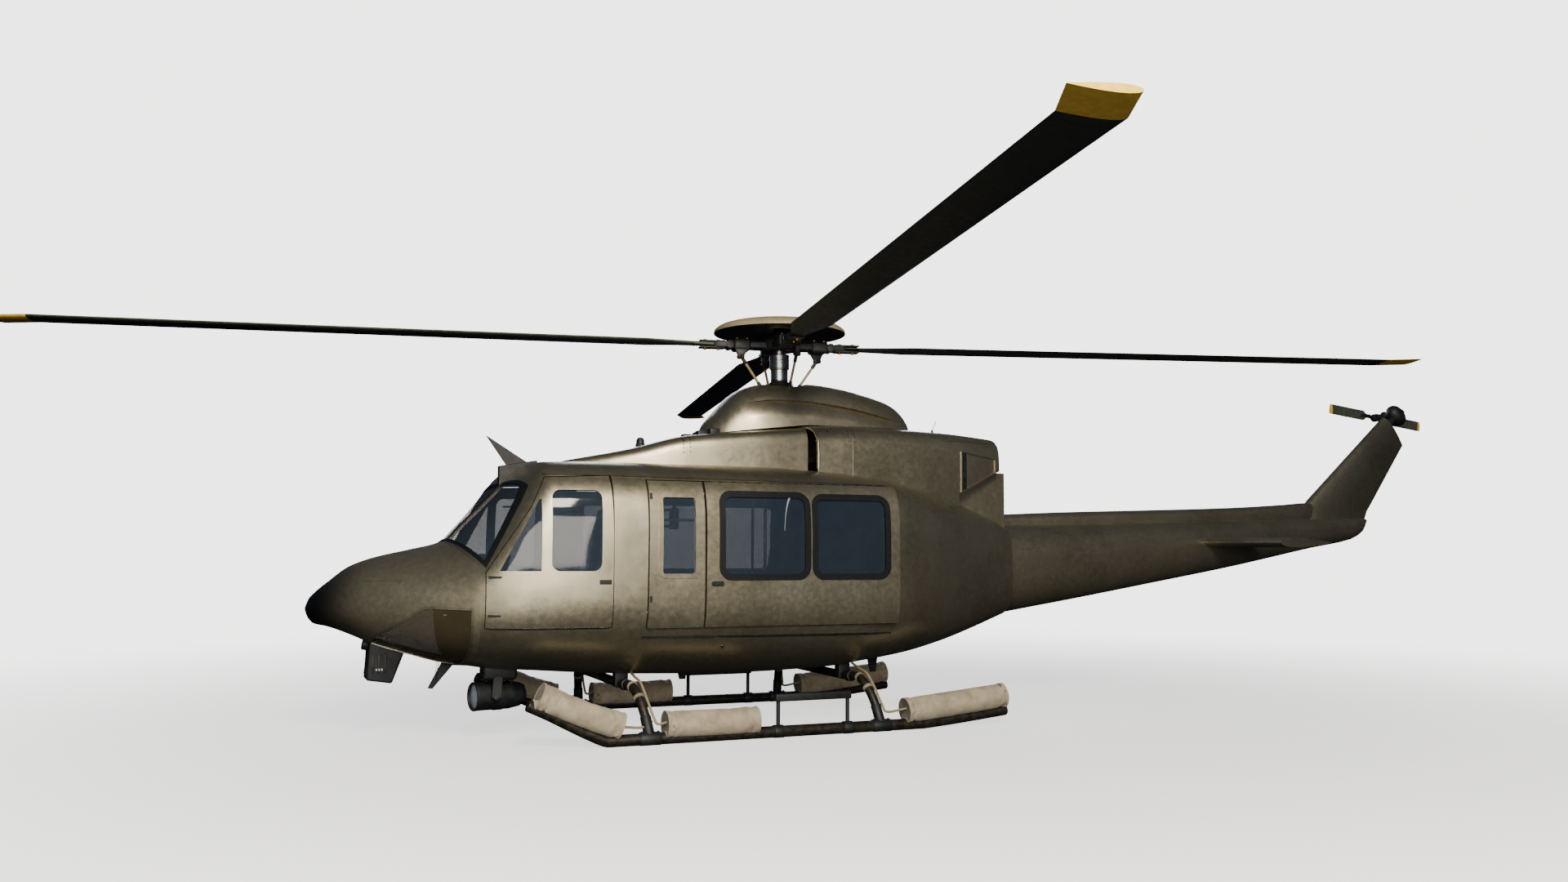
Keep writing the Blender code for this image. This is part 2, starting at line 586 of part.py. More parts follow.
def build_fuselage(frame, paint, glass):
    """Nose tip, nose shell, belly, cabin frame and aft fuselage, with the windscreen and chin windows."""
    tip_stations = body_stations(BODY[0][0], RADOME_END - GAP)
    add("radome", loft(body_point, tip_stations, BODY_AROUND), paint["dark"], frame)
    nose_stations = body_stations(RADOME_END, NOSE_END + 0.08)
    nose = add("nose_shell", layer(body_point, nose_stations, BODY_AROUND, 0, WALL), paint["khaki"], frame)
    keep(nose, cutter("nose_outline", prism(NOSE_CUT, -BEYOND, BEYOND), frame))
    for side in (PORT, STARBOARD):
        glaze(nose, "chin_window_" + SIDE_NAMES[side], [CHIN_WINDOW], grow(CHIN_WINDOW, PANE_LAP), side, body_point,
              nose_stations, 0.0, glass, frame, low=CHIN_GAP_Y)

    belly_outline = ((NOSE_END + GAP, 0.2), (CABIN_END - GAP, 0.2), (CABIN_END - GAP, SILL_REAR),
                     (SILL_STEP_X, SILL_REAR), (SILL_STEP_X, SILL_FRONT), (NOSE_END + GAP, SILL_FRONT))
    cabin_stations = body_stations(-3.45, CABIN_END - GAP)
    belly = add("belly_tub", layer(body_point, body_stations(-3.2, CABIN_END + 0.05), BODY_AROUND, 0, WALL),
                paint["khaki"], frame)
    keep(belly, cutter("belly_outline", prism(belly_outline, -BEYOND, BEYOND), frame))

    cabin = add("cabin_frame", layer(body_point, cabin_stations, BODY_AROUND, 0, WALL), paint["khaki"], frame)
    nose_line = [(x + GAP, z + GAP) for x, z in NOSE_LINE]
    below = ((-5.0, 0.0), (2.0, 0.0), (2.0, SILL_REAR + GAP), (SILL_STEP_X, SILL_REAR + GAP),
             (SILL_STEP_X, SILL_FRONT + GAP), (NOSE_END + GAP, SILL_FRONT + GAP), *nose_line,
             (-5.0, NOSE_LINE[1][1]))
    cut(cabin, cutter("below_cabin", prism(below, -BEYOND, BEYOND), frame))
    front, rear = PANEL_DOOR[0][0] - DOOR_GAP, CABIN_END + 0.2
    side_opening = ((front, OPENING_LOW_Z), (rear, OPENING_LOW_Z), (rear, DOOR_LINTEL), (front, DOOR_LINTEL))
    for side in (PORT, STARBOARD):
        name = SIDE_NAMES[side]
        cut(cabin, cutter("windscreen_" + name, side_prism(WINDSCREEN, side, WINDSCREEN_POST), frame))
        cut(cabin, cutter("crew_opening_" + name, side_prism(CREW_OPENING, side, OPENING_DEPTH_Y), frame))
        cut(cabin, cutter("side_opening_" + name, side_prism(side_opening, side, OPENING_DEPTH_Y), frame))
    rebate_wall = layer(body_point, cabin_stations, BODY_AROUND, PANE_DEPTH, REBATE_DEPTH)
    rebate = cutter("windscreen_rebate", rebate_wall, frame)
    keep(rebate, cutter("windscreen_rebate_outline", prism(grow(WINDSCREEN, WINDSCREEN_LAP), -BEYOND, BEYOND), frame))
    cut(cabin, rebate)
    pane = add("windscreen", layer(body_point, cabin_stations, BODY_AROUND, PANE_DEPTH + GAP, PANE_DEPTH + PANE),
               glass, frame)
    pane_outline = prism(grow(WINDSCREEN, WINDSCREEN_LAP - GAP), -BEYOND, BEYOND)
    keep(pane, cutter("windscreen_pane_outline", pane_outline, frame))

    aft = add("aft_fuselage", layer(body_point, body_stations(CABIN_END, AFT_END), BODY_AROUND, 0, AFT_WALL),
              paint["khaki"], frame)
    bulkhead_ends = [CABIN_END, CABIN_END + BULKHEAD_THICK]
    bulkhead = loft(lambda x, turn: body_point(x, turn, 0.05), bulkhead_ends, BODY_AROUND)
    join(aft, cutter("bulkhead", bulkhead, frame))
    join(aft, cutter("pylon", prism(PYLON, -PYLON_HALF, PYLON_HALF), frame))
    for side in (PORT, STARBOARD):
        name = SIDE_NAMES[side]
        pocket_wall = layer(door_point, [0.5, 2.7], BODY_AROUND, -0.3, DOOR_POCKET_DEPTH)
        pocket = cutter("door_pocket_" + name, pocket_wall, frame)
        keep(pocket, cutter("door_pocket_outline_" + name, side_prism(DOOR_POCKET, side, 0.4), frame))
        cut(aft, pocket)


def build_cabin(frame, paint, seat_cloth):
    """Floor with its cargo plate, instrument console, two crew seats and the rear bench."""
    floor_low = (FLOOR_FRONT_X, -FLOOR_HALF, FLOOR_TOP - FLOOR_THICK)
    floor = add("cabin_floor", block(floor_low, (CABIN_END - 0.005, FLOOR_HALF, FLOOR_TOP)), paint["grey"], frame)
    plate = block((CARGO_PLATE_X[0], -CARGO_HALF, FLOOR_TOP - 0.01), (CARGO_PLATE_X[1], CARGO_HALF, CARGO_TOP))
    join(floor, cutter("cargo_plate", plate, frame))
    inside = loft(lambda x, turn: body_point(x, turn, WALL + SEAT_GAP), body_stations(-3.1, CABIN_END), BODY_AROUND)
    keep(floor, cutter("cabin_inside", inside, frame))
    console = add("instrument_console", block(*CONSOLE, 0.03), paint["dark"], frame)
    join(console, cutter("pedestal", block(*PEDESTAL, 0.02), frame))
    for side in (PORT, STARBOARD):
        add("crew_seat_" + SIDE_NAMES[side], seat_shape(CREW_SEAT, side * CREW_SEAT_Y), seat_cloth, frame)
    add("rear_bench", seat_shape(REAR_BENCH, 0.0), seat_cloth, frame)


def seat_shape(sizes, middle_y):
    """Seat with its pan, back and box foot in one outline."""
    front_x, half_width, depth, top, height = sizes
    floor = FLOOR_TOP + GAP
    pan = floor + height
    foot_x = front_x + FOOT_SETBACK
    back_x = front_x + depth
    outline = ((front_x, pan), (front_x, pan - PAN_THICK), (foot_x, pan - PAN_THICK), (foot_x, floor),
               (back_x, floor), (back_x + 0.14, top), (back_x + 0.02, top), (back_x - 0.10, pan))
    return prism(outline, middle_y - half_width, middle_y + half_width)


def cowl_point(rows, power):
    """Point function of a cowl whose rows give its top and half width."""
    def point(x, turn, inset=0.0):
        top, half = smooth(rows, x)
        y, z = inset_oval(turn, inset, (COWL_BOTTOM, top, half, top - COWL_SHOULDER, power, 9.0))
        return Vector((x, y, z))
    return point


def fairing_point(x, turn, inset=0.0):
    top, half = smooth(MAST_FAIRING, x)
    y, z = inset_oval(turn, inset, (FAIRING_BOTTOM, top, half, FAIRING_WIDEST, 2.6, 4.0))
    return Vector((x, y, z))


def build_cowls(frame, paint):
    """Transmission cowl, engine cowl, mast fairing, and the machinery that they cover."""
    body_stand_off = loft(lambda x, turn: body_point(x, turn, -SEAT_GAP), body_stations(-4.2, AFT_END), BODY_AROUND)
    body = cutter("body_grown", body_stand_off, frame)
    front_stations = [row[0] for row in TRANSMISSION_COWL]
    front_wall = layer(cowl_point(TRANSMISSION_COWL, 9.0), front_stations, 28, 0, COWL_WALL)
    front = add("transmission_cowl", front_wall, paint["khaki"], frame)
    rear_stations = [0.030, 0.4, 0.8, 1.2, 1.6, 1.86, 2.12]
    rear_point = cowl_point(ENGINE_COWL, 5.0)
    rear = add("engine_cowl", layer(rear_point, rear_stations, 32, 0, COWL_WALL), paint["khaki"], frame)
    back = loft(lambda x, turn: rear_point(x, turn, 0.01), [COWL_BACK_X, rear_stations[-1]], 32)
    join(rear, cutter("cowl_back", back, frame))
    cut(rear, cutter("cowl_underside", prism(ENGINE_COWL_CUT, -BEYOND, BEYOND), frame))
    for item in (front, rear):
        cut(item, body)

    fairing_stations = [row[0] for row in MAST_FAIRING]
    fairing = add("mast_fairing", loft(fairing_point, fairing_stations, 32), paint["khaki"], frame)
    cut(fairing, cutter("fairing_hollow", block(*FAIRING_HOLLOW, 0.05), frame))
    cut(fairing, cutter("fairing_mouth", cylinder((0, 0, 2.9), (0, 0, 3.5), FAIRING_MOUTH, 24), frame))
    cut(fairing, cutter("fairing_foot", prism(FAIRING_FOOT, -BEYOND, BEYOND), frame))

    add("transmission_block", block(*TRANSMISSION_BLOCK, 0.03), paint["metal"], frame)
    engine = add("engines", block(*ENGINE_BLOCK, 0.04), paint["metal"], frame)
    start, end = EXHAUST_X
    beyond = end + 0.13
    for side in (PORT, STARBOARD):
        name = SIDE_NAMES[side]
        y, z = side * EXHAUST_Y, EXHAUST_Z
        join(engine, cutter("exhaust_" + name, cylinder((start, y, z), (end, y, z), EXHAUST_RADIUS, 20), frame))
        bore = cylinder((EXHAUST_BORE_X, y, z), (beyond, y, z), EXHAUST_BORE, 20)
        cut(engine, cutter("exhaust_bore_" + name, bore, frame))
        hole = cylinder((2.0, y, z), (beyond, y, z), EXHAUST_HOLE, 20)
        cut(rear, cutter("exhaust_hole_" + name, hole, frame))


def pulled_in(outline_rows, power):
    """Point function of a tail part whose rows give its bottom, top and half width."""
    def point(x, turn, inset=0.0):
        bottom, top, half = smooth(outline_rows, x)
        y, z = inset_oval(turn, inset, (bottom, top, half, (bottom + top) / 2, power, power))
        return Vector((x, y, z))
    return point


def build_tail(frame, paint):
    """Boom, drive shaft cover, fin, stabilisers and the gearbox on the fin."""
    stations = [row[0] for row in BOOM]
    boom_point = pulled_in(BOOM, 2.8)
    boom = add("tail_boom", loft(boom_point, stations, 28), paint["khaki"], frame)
    hollow = loft(lambda x, turn: boom_point(x, turn, BOOM_WALL), [2.2, *stations[1:-3]], 28)
    cut(boom, cutter("boom_hollow", hollow, frame))
    boom_grown = cutter("boom_grown", loft(lambda x, turn: boom_point(x, turn, -GAP), stations, 28), frame)

    cover_stations = [row[0] for row in SHAFT_COVER]
    cover_wall = layer(pulled_in(SHAFT_COVER, 3.0), cover_stations, 20, 0, COVER_WALL)
    cover = add("shaft_cover", cover_wall, paint["khaki"], frame)
    cut(cover, boom_grown)

    fin = add("tail_fin", fin_shape(), paint["khaki"], frame)
    cut(fin, cutter("fin_top", prism(FIN_TOP, -1, 1), frame))
    cut(fin, boom_grown)
    fin_grown = cutter("fin_grown", fin_shape(SEAT_GAP), frame)
    cut(fin_grown, cutter("fin_top_grown", prism([(x + GAP, z + GAP) for x, z in FIN_TOP], -1, 1), frame))
    cut(cover, fin_grown)

    for side in (PORT, STARBOARD):
        wing = add("stabiliser_" + SIDE_NAMES[side], stabiliser_shape(side), paint["khaki"], frame)
        cut(wing, boom_grown)

    gear = add("tail_gearbox", tail_gear_shape(), paint["dark"], frame)
    x, _, z = TAIL_HUB
    reach, radius = GEARBOX_FOOT
    join(gear, cutter("tail_gear_foot", cylinder((x, 0, z), (x - reach, 0, z - reach), radius, 14), frame))
    start_y, end_y, radius = GEARBOX_OUTPUT
    join(gear, cutter("tail_gear_output", cylinder((x, start_y, z), (x, end_y, z), radius, 18), frame))
    cut(gear, fin_grown)


def aerofoil(chord, thickness, count=7):
    """Closed outline of an aerofoil from nose to tail and back, as (along, across) pairs."""
    upper = []
    for i in range(count + 1):
        s = (1 - cos(pi * i / count)) / 2
        height = 5 * thickness * (0.2969 * s ** 0.5 - 0.1260 * s - 0.3516 * s ** 2 + 0.2843 * s ** 3 - 0.1015 * s ** 4)
        upper.append((chord * s, max(height, 0.02 * thickness)))
    lower = [(a, -b) for a, b in reversed(upper[1:])]
    return [(0.0, 0.0), *upper[1:], *lower]


def sections_shape(sections):
    """Skin through closed sections of equal length, with flat ends."""
    shape = bmesh.new()
    rings = [[shape.verts.new(place) for place in section] for section in sections]
    count = len(sections[0])
    for first, second in zip(rings, rings[1:]):
        for k in range(count):
            shape.faces.new((first[k], first[(k + 1) % count], second[(k + 1) % count], second[k]))
    shape.faces.new(rings[0])
    shape.faces.new(rings[-1])
    bmesh.ops.recalc_face_normals(shape, faces=shape.faces)
    return shape


def fin_shape(extra=0.0):
    sections = []
    for z, nose, tail, thickness in FIN:
        outline = aerofoil(tail - nose + 2 * extra, thickness + 2 * extra)
        sections.append([(nose - extra + a, b, z) for a, b in outline])
    return sections_shape(sections)


def stabiliser_shape(side):
    """Wing whose flatter side is up, because it pushes the tail down."""
    outline = aerofoil(STABILISER_X[1] - STABILISER_X[0], STABILISER_THICKNESS)
    return sections_shape([[(STABILISER_X[0] + a, side * y, STABILISER_Z - b) for a, b in outline]
                           for y in (STABILISER_ROOT, STABILISER_TIP)])


def tail_gear_shape():
    """Rounded gearbox on a foot that stands on the fin's slanted top edge."""
    x, _, z = TAIL_HUB
    shape = bmesh.new()
    bmesh.ops.create_uvsphere(shape, u_segments=20, v_segments=12, radius=GEARBOX_RADIUS)
    bmesh.ops.scale(shape, vec=(1.0, 1.0, GEARBOX_STRETCH), verts=shape.verts)
    bmesh.ops.rotate(shape, matrix=Matrix.Rotation(radians(-45), 3, "Y"), verts=shape.verts)
    bmesh.ops.translate(shape, vec=(x + 0.01, 0, z), verts=shape.verts)
    return shape


def build_tail_rotor(joint, paint):
    """Shaft end, two grips and two blades in one piece."""
    x, _, z = TAIL_HUB
    start_y, end_y, radius = TAIL_SHAFT
    hub = add("tail_rotor_blades", cylinder((x, start_y, z), (x, end_y, z), radius, 16), paint["olive"], joint)
    along = Vector((cos(radians(TAIL_BLADE_SLOPE)), 0, sin(radians(TAIL_BLADE_SLOPE))))
    across = Vector((-along.z, 0, along.x))
    centre = Vector(TAIL_HUB)
    for index, way in enumerate((1, -1)):
        grip = cylinder(centre, centre + along * way * TAIL_GRIP_REACH, TAIL_GRIP_RADIUS, 10)
        join(hub, cutter(f"tail_grip_{index}", grip, joint))
        sections = []
        for radius, chord in TAIL_BLADE_SECTIONS:
            outline = aerofoil(chord, TAIL_BLADE_THICKNESS, 5)
            middle = centre + along * way * radius
            sections.append([middle + across * (a - chord / 2) + Vector((0, b, 0)) for a, b in outline])
        join(hub, cutter(f"tail_blade_{index}", sections_shape(sections), joint))


def build_main_rotor(joint, paint):
    """Mast with its swashplate, hub with its arms, grips, horns and links, hub cap and four blades."""
    z = ROTOR_Z
    mast_top = z - HUB_SEAT - 0.0004
    mast = add("mast", cylinder((0, 0, MAST_FOOT_Z), (0, 0, mast_top), MAST_RADIUS, 20), paint["metal"], joint)
    join(mast, cutter("swashplate", lathe(SWASHPLATE, 20, (0, 0, z)), joint))
    hub = add("rotor_hub", lathe(HUB_PROFILE, 24, (0, 0, z)), paint["dark"], joint)
    add("hub_cap", lathe(CAP_PROFILE, 28, (0, 0, z)), paint["khaki"], joint)
    for k, (azimuth, flap) in enumerate(BLADE_STANCES):
        turn = Matrix.Translation((0, 0, z)) @ Matrix.Rotation(radians(azimuth), 4, "Z")
        parts = {"arm": prism(ARM, -ARM_HALF, ARM_HALF, "Z"), "grip": block(*GRIP, 0.02), "horn": prism(HORN, *HORN_Y),
                 "link": cylinder(*LINK, LINK_RADIUS, 8), "lug": cylinder(*LUG, LUG_RADIUS, 8)}
        for name, shape in parts.items():
            bmesh.ops.transform(shape, matrix=turn, verts=shape.verts)
            join(hub, cutter(f"{name}_{k}", shape, joint))
        blade = blade_shape()
        root = Vector((BLADE_ROOT, 0, 0))
        bmesh.ops.rotate(blade, cent=root, matrix=Matrix.Rotation(radians(-flap), 3, "Y"), verts=blade.verts)
        bmesh.ops.transform(blade, matrix=turn, verts=blade.verts)
        add(f"main_blade_{k + 1}", blade, paint["black"], joint)
    space = cylinder((0, 0, MAST_FOOT_Z - 0.07), (0, 0, z - HUB_SEAT - 0.0001), MAST_SPACE, 20)
    cut(hub, cutter("mast_space", space, joint))


def blade_shape():
    """Blade along +X in the rotor's plane, its nose towards +Y, with a swept tip."""
    sections = []
    for radius, chord, lead in BLADE_SECTIONS:
        outline = aerofoil(chord, BLADE_THICKNESS)
        sections.append([(radius, lead - a, b) for a, b in outline])
    return sections_shape(sections)


def build_gear(frame, paint, bag_cloth):
    """Skids with their step bars, packed float bags that lie on them, and the two cross tubes."""
    for side in (PORT, STARBOARD):
        name = SIDE_NAMES[side]
        y = side * SKID_Y
        route = spline([(x, y, z) for x, z in SKID_TOE], 15)
        route += [Vector((x, y, SKID_RADIUS)) for x in SKID_RUN]
        route += spline([(x, y, z) for x, z in SKID_HEEL], 4)
        for place in route:
            place.z = max(place.z, SKID_RADIUS)
        skid = add("skid_" + name, tube(route, SKID_RADIUS), paint["skid"], frame)
        bar_low = (STEP_BAR_X[0], y - STEP_BAR_HALF, STEP_BAR_Z[0])
        bar_high = (STEP_BAR_X[1], y + STEP_BAR_HALF, STEP_BAR_Z[1])
        join(skid, cutter("step_bar_" + name, block(bar_low, bar_high, 0.008), frame))
        for index, x in enumerate(STEP_POSTS_X):
            post = cylinder((x, y, 0.06), (x, y, 0.33), STEP_POST_RADIUS, 10)
            join(skid, cutter(f"step_post_{name}_{index}", post, frame))
        skid_grown = cutter("skid_grown_" + name, tube(route, SKID_RADIUS + GAP), frame)
        for place, ends in BAGS.items():
            start, end = ((x, y, z) for x, z in ends)
            bag = add(f"float_bag_{place}_{name}", bag_shape(start, end), bag_cloth, frame)
            cut(bag, skid_grown)
    for place, x in (("front", FRONT_FOOT_X), ("rear", REAR_FOOT_X)):
        half = spline([(x + lean, y, z) for y, z, lean in CROSS_LEG], 12)
        route = half + [Vector((p.x, -p.y, p.z)) for p in reversed(half)]
        legs = add("cross_tube_" + place, tube(route, CROSS_RADIUS), paint["skid"], frame)
        for side in (PORT, STARBOARD):
            cut(legs, bpy.data.objects["cut_skid_grown_" + SIDE_NAMES[side]])


def bag_shape(start, end):
    """Packed float bag: a round pack with softly rounded ends."""
    start, end = Vector(start), Vector(end)
    length = (end - start).length
    r = BAG_RADIUS
    profile = [(0.0, 0.0), (r * 0.80, 0.0), (r * 0.95, 0.012), (r, 0.04), (r, length - 0.04),
               (r * 0.95, length - 0.012), (r * 0.80, length), (0.0, length)]
    shape = lathe(profile, 16)
    turn = (end - start).to_track_quat("Z", "Y").to_matrix().to_4x4()
    bmesh.ops.transform(shape, matrix=Matrix.Translation(start) @ turn, verts=shape.verts)
    return shape


def build_fittings(frame, paint):
    """Wire cutters above and below the nose, the sensor box and the searchlight under it."""
    body = bpy.data.objects["cut_body_grown"]
    outlines = {"upper_wire_cutter": (UPPER_CUTTER, CUTTER_HALF), "lower_wire_cutter": (LOWER_CUTTER, CUTTER_HALF),
                "nose_sensor": (SENSOR_BOX, SENSOR_HALF)}
    for name, (outline, half) in outlines.items():
        item = add(name, prism(outline, -half, half), paint["dark"], frame)
        cut(item, body)
    lamp = add("searchlight", lathe(LAMP_PROFILE, 24), paint["dark"], frame)
    lamp.data.transform(Matrix.Translation(LAMP_PLACE) @ Matrix.Rotation(radians(90), 4, "Y"))
    join(lamp, cutter("lamp_bracket", block(*LAMP_BRACKET, 0.01), frame))
    cut(lamp, body)


def door_axis(place, side):
    x, y, z = place
    return x, side * y, z


def build_doors(frame, paint, glass):
    """Six doors; each swings or slides from the empty on its own axis."""
    outer, inner = -DOOR_PROUD, WALL - DOOR_PROUD
    for side in (PORT, STARBOARD):
        name = SIDE_NAMES[side]
        crew = empty("crew_door_axis_" + name, door_axis(CREW_AXIS, side), frame)
        crew_stations = body_stations(-3.12, -1.90)
        door = add("crew_door_" + name, layer(body_point, crew_stations, BODY_AROUND, 0, WALL), paint["khaki"], crew)
        keep(door, cutter("crew_door_outline_" + name, side_prism(CREW_DOOR, side), crew))
        windows = [CREW_QUARTER_WINDOW, rounded(CREW_WINDOW, WINDOW_CORNER)]
        glaze(door, "crew_glass_" + name, windows, CREW_SHEET, side, body_point, crew_stations, 0.0, glass, crew)

        panel = empty("panel_door_axis_" + name, door_axis(PANEL_AXIS, side), frame)
        panel_stations = [-1.80, -1.20]
        door = add("panel_door_" + name, layer(door_point, panel_stations, BODY_AROUND, outer, inner),
                   paint["khaki"], panel)
        keep(door, cutter("panel_door_outline_" + name, side_prism(PANEL_DOOR, side), panel))
        window = rounded(PANEL_WINDOW, PANEL_WINDOW_CORNER)
        glaze(door, "panel_glass_" + name, [window], grow(window, PANE_LAP), side, door_point, panel_stations, outer,
              glass, panel)

        slide = empty("sliding_door_axis_" + name, door_axis(SLIDE_AXIS, side), frame)
        slide_stations = [-1.25, 0.70]
        door = add("sliding_door_" + name, layer(door_point, slide_stations, BODY_AROUND, outer, inner),
                   paint["khaki"], slide)
        keep(door, cutter("sliding_door_outline_" + name, side_prism(SLIDING_DOOR, side), slide))
        windows = [rounded(SLIDING_WINDOW_FRONT, WINDOW_CORNER), rounded(SLIDING_WINDOW_REAR, WINDOW_CORNER)]
        glaze(door, "sliding_glass_" + name, windows, SLIDING_SHEET, side, door_point, slide_stations, outer, glass,
              slide)


def main():
    remove_scene_objects()
    paint = {
        "khaki": finish("khaki_paint", (150, 140, 112), 0.35, 0.38),
        "dark": finish("black_paint", (28, 30, 33), 0.0, 0.5),
        "grey": finish("floor_grey", (90, 92, 92), 0.0, 0.7),
        "metal": finish("bare_metal", (165, 168, 172), 0.9, 0.35),
        "olive": finish("olive_paint", (72, 78, 66), 0.0, 0.5),
        "black": finish("blade_paint", (34, 40, 43), 0.0, 0.5),
        "skid": finish("skid_paint", (52, 46, 38), 0.3, 0.5),
    }
    glass = finish("tinted_glass", (70, 84, 98), 0.0, 0.08, 0.4)
    seat_cloth = finish("seat_cloth", (96, 92, 84), 0.0, 0.9)
    bag_cloth = finish("bag_cloth", (163, 152, 130), 0.0, 0.9)
    frame = empty("airframe_frame", (MAST_X, 0, 0))
    build_fuselage(frame, paint, glass)
    build_cabin(frame, paint, seat_cloth)
    build_cowls(frame, paint)
    build_tail(frame, paint)
    build_gear(frame, paint, bag_cloth)
    build_fittings(frame, paint)
    build_doors(frame, paint, glass)
    build_main_rotor(empty("main_rotor_axis", (0, 0, ROTOR_Z), frame), paint)
    build_tail_rotor(empty("tail_rotor_axis", TAIL_HUB, frame), paint)


main()
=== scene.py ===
"""Looks of a twin-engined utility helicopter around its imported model.

Shapes are written in mast coordinates, as in the part's source: X from the main rotor's axis, Y from the
centre plane, Z from the ground. A finished piece is moved by MAST_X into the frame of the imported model.
"""
from functools import lru_cache
from math import atan2, cos, hypot, pi, radians, sin

import bmesh
import bpy
from mathutils import Matrix, Vector, noise


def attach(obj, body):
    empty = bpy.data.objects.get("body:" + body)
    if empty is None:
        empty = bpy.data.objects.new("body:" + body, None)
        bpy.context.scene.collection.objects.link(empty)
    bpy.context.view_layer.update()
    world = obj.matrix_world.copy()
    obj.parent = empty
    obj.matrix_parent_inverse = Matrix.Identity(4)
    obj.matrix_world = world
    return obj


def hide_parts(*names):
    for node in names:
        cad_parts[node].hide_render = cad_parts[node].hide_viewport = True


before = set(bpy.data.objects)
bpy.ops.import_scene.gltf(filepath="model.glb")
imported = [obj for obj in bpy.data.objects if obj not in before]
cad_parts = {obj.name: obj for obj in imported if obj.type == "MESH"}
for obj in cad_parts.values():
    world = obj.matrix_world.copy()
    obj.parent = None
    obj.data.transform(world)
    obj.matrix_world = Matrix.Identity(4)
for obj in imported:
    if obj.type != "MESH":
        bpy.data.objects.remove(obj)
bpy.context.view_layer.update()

MAST_X = -1.14
MERGE = 1e-5
PORT = -1
STARBOARD = 1
SIDES = (PORT, STARBOARD)
SIDE_NAMES = {PORT: "port", STARBOARD: "starboard"}
BEYOND = 3.0

# Main body: x, bottom, top, half width, height of the widest line, power above it, power below it
BODY = (
    (-4.295, 1.090, 1.110, 0.010, 1.10, 2.0, 2.0),
    (-4.270, 1.025, 1.180, 0.085, 1.10, 2.0, 2.0),
    (-4.220, 0.975, 1.238, 0.165, 1.10, 2.0, 2.0),
    (-4.120, 0.952, 1.325, 0.280, 1.11, 2.1, 2.1),
    (-3.950, 0.888, 1.455, 0.430, 1.11, 2.2, 2.2),
    (-3.750, 0.800, 1.530, 0.600, 1.12, 2.3, 2.4),
    (-3.450, 0.708, 1.600, 0.830, 1.14, 2.3, 2.6),
    (-3.190, 0.637, 1.667, 1.000, 1.17, 2.4, 2.8),
    (-3.030, 0.615, 1.828, 1.095, 1.20, 2.5, 2.9),
    (-2.830, 0.585, 2.035, 1.180, 1.26, 3.4, 3.0),
    (-2.700, 0.575, 2.178, 1.220, 1.29, 4.4, 3.0),
    (-2.600, 0.569, 2.290, 1.238, 1.31, 4.8, 3.0),
    (-2.500, 0.562, 2.352, 1.255, 1.32, 5.0, 3.0),
    (-2.000, 0.524, 2.367, 1.290, 1.35, 5.0, 3.0),
    (-1.500, 0.498, 2.368, 1.300, 1.35, 5.0, 3.0),
    (-0.600, 0.478, 2.368, 1.300, 1.35, 5.0, 3.0),
    (0.200, 0.500, 2.336, 1.300, 1.35, 5.0, 3.0),
    (0.640, 0.550, 2.290, 1.270, 1.35, 5.0, 3.0),
    (1.050, 0.602, 2.235, 1.150, 1.36, 4.8, 3.0),
    (1.450, 0.683, 2.150, 0.970, 1.38, 4.6, 3.1),
    (1.850, 0.793, 2.045, 0.770, 1.38, 4.4, 3.3),
    (2.310, 0.938, 1.895, 0.575, 1.38, 4.2, 3.4),
)
RADOME_END = -3.93
NOSE_END = -3.03
CABIN_END = 0.62
AFT_END = 2.31
WALL = 0.045
AFT_WALL = 0.075
DOOR_PROUD = 0.025
DOOR_SECTION_X = -1.2
DOOR_GAP = 0.007
PANE_DEPTH = 0.012
PANE = 0.006
SEAM = 0.0003
AROUND = 112
STATION = 0.055

CREW_DOOR = ((-3.000, 0.975), (-2.010, 0.975), (-2.010, 1.700), (-2.026, 2.215), (-2.550, 2.190),
             (-2.672, 1.932), (-3.000, 1.415))
CREW_OPENING = (
    (-3.007, 0.900), (-2.002, 0.900), (-2.009, 2.2223), (-2.554, 2.197), (-2.678, 1.935), (-3.007, 1.417))
PANEL_DOOR = ((-1.715, 0.960), (-1.229, 0.960), (-1.235, 2.181), (-1.715, 2.181))
SLIDING_DOOR = ((-1.215, 0.960), (0.620, 0.960), (0.620, 2.181), (-1.215, 2.181))
DOOR_LINTEL = 2.189
CREW_QUARTER_WINDOW = ((-2.905, 1.430), (-2.590, 1.430), (-2.590, 2.010), (-2.605, 2.010))
CREW_WINDOW = ((-2.511, 1.430), (-2.105, 1.430), (-2.105, 2.090), (-2.511, 2.090))
PANEL_WINDOW = ((-1.610, 1.400), (-1.310, 1.400), (-1.310, 2.050), (-1.610, 2.050))
SLIDING_WINDOW_FRONT = ((-1.060, 1.395), (-0.305, 1.395), (-0.305, 2.065), (-1.060, 2.065))
SLIDING_WINDOW_REAR = ((-0.200, 1.395), (0.480, 1.395), (0.480, 2.055), (-0.200, 2.055))
WINDOW_CORNER = 0.07
CHIN_WINDOW = ((-3.780, 0.600), (-3.090, 0.600), (-3.100, 1.120), (-3.430, 1.130), (-3.780, 0.880))
WINDSCREEN = ((-3.430, 1.980), (-3.005, 1.490), (-2.685, 2.130), (-2.860, 2.560))
NOSE_CUT = ((RADOME_END, 0.2), (NOSE_END, 0.2), (NOSE_END, 1.445), (-3.43, 1.91), (RADOME_END, 1.91))
SILL_FRONT = 0.968
SILL_REAR = 0.953
SILL_STEP_X = -1.86
WINDSCREEN_POST = 0.035
CHIN_GAP_Y = 0.16
FLOOR_TOP = 0.930

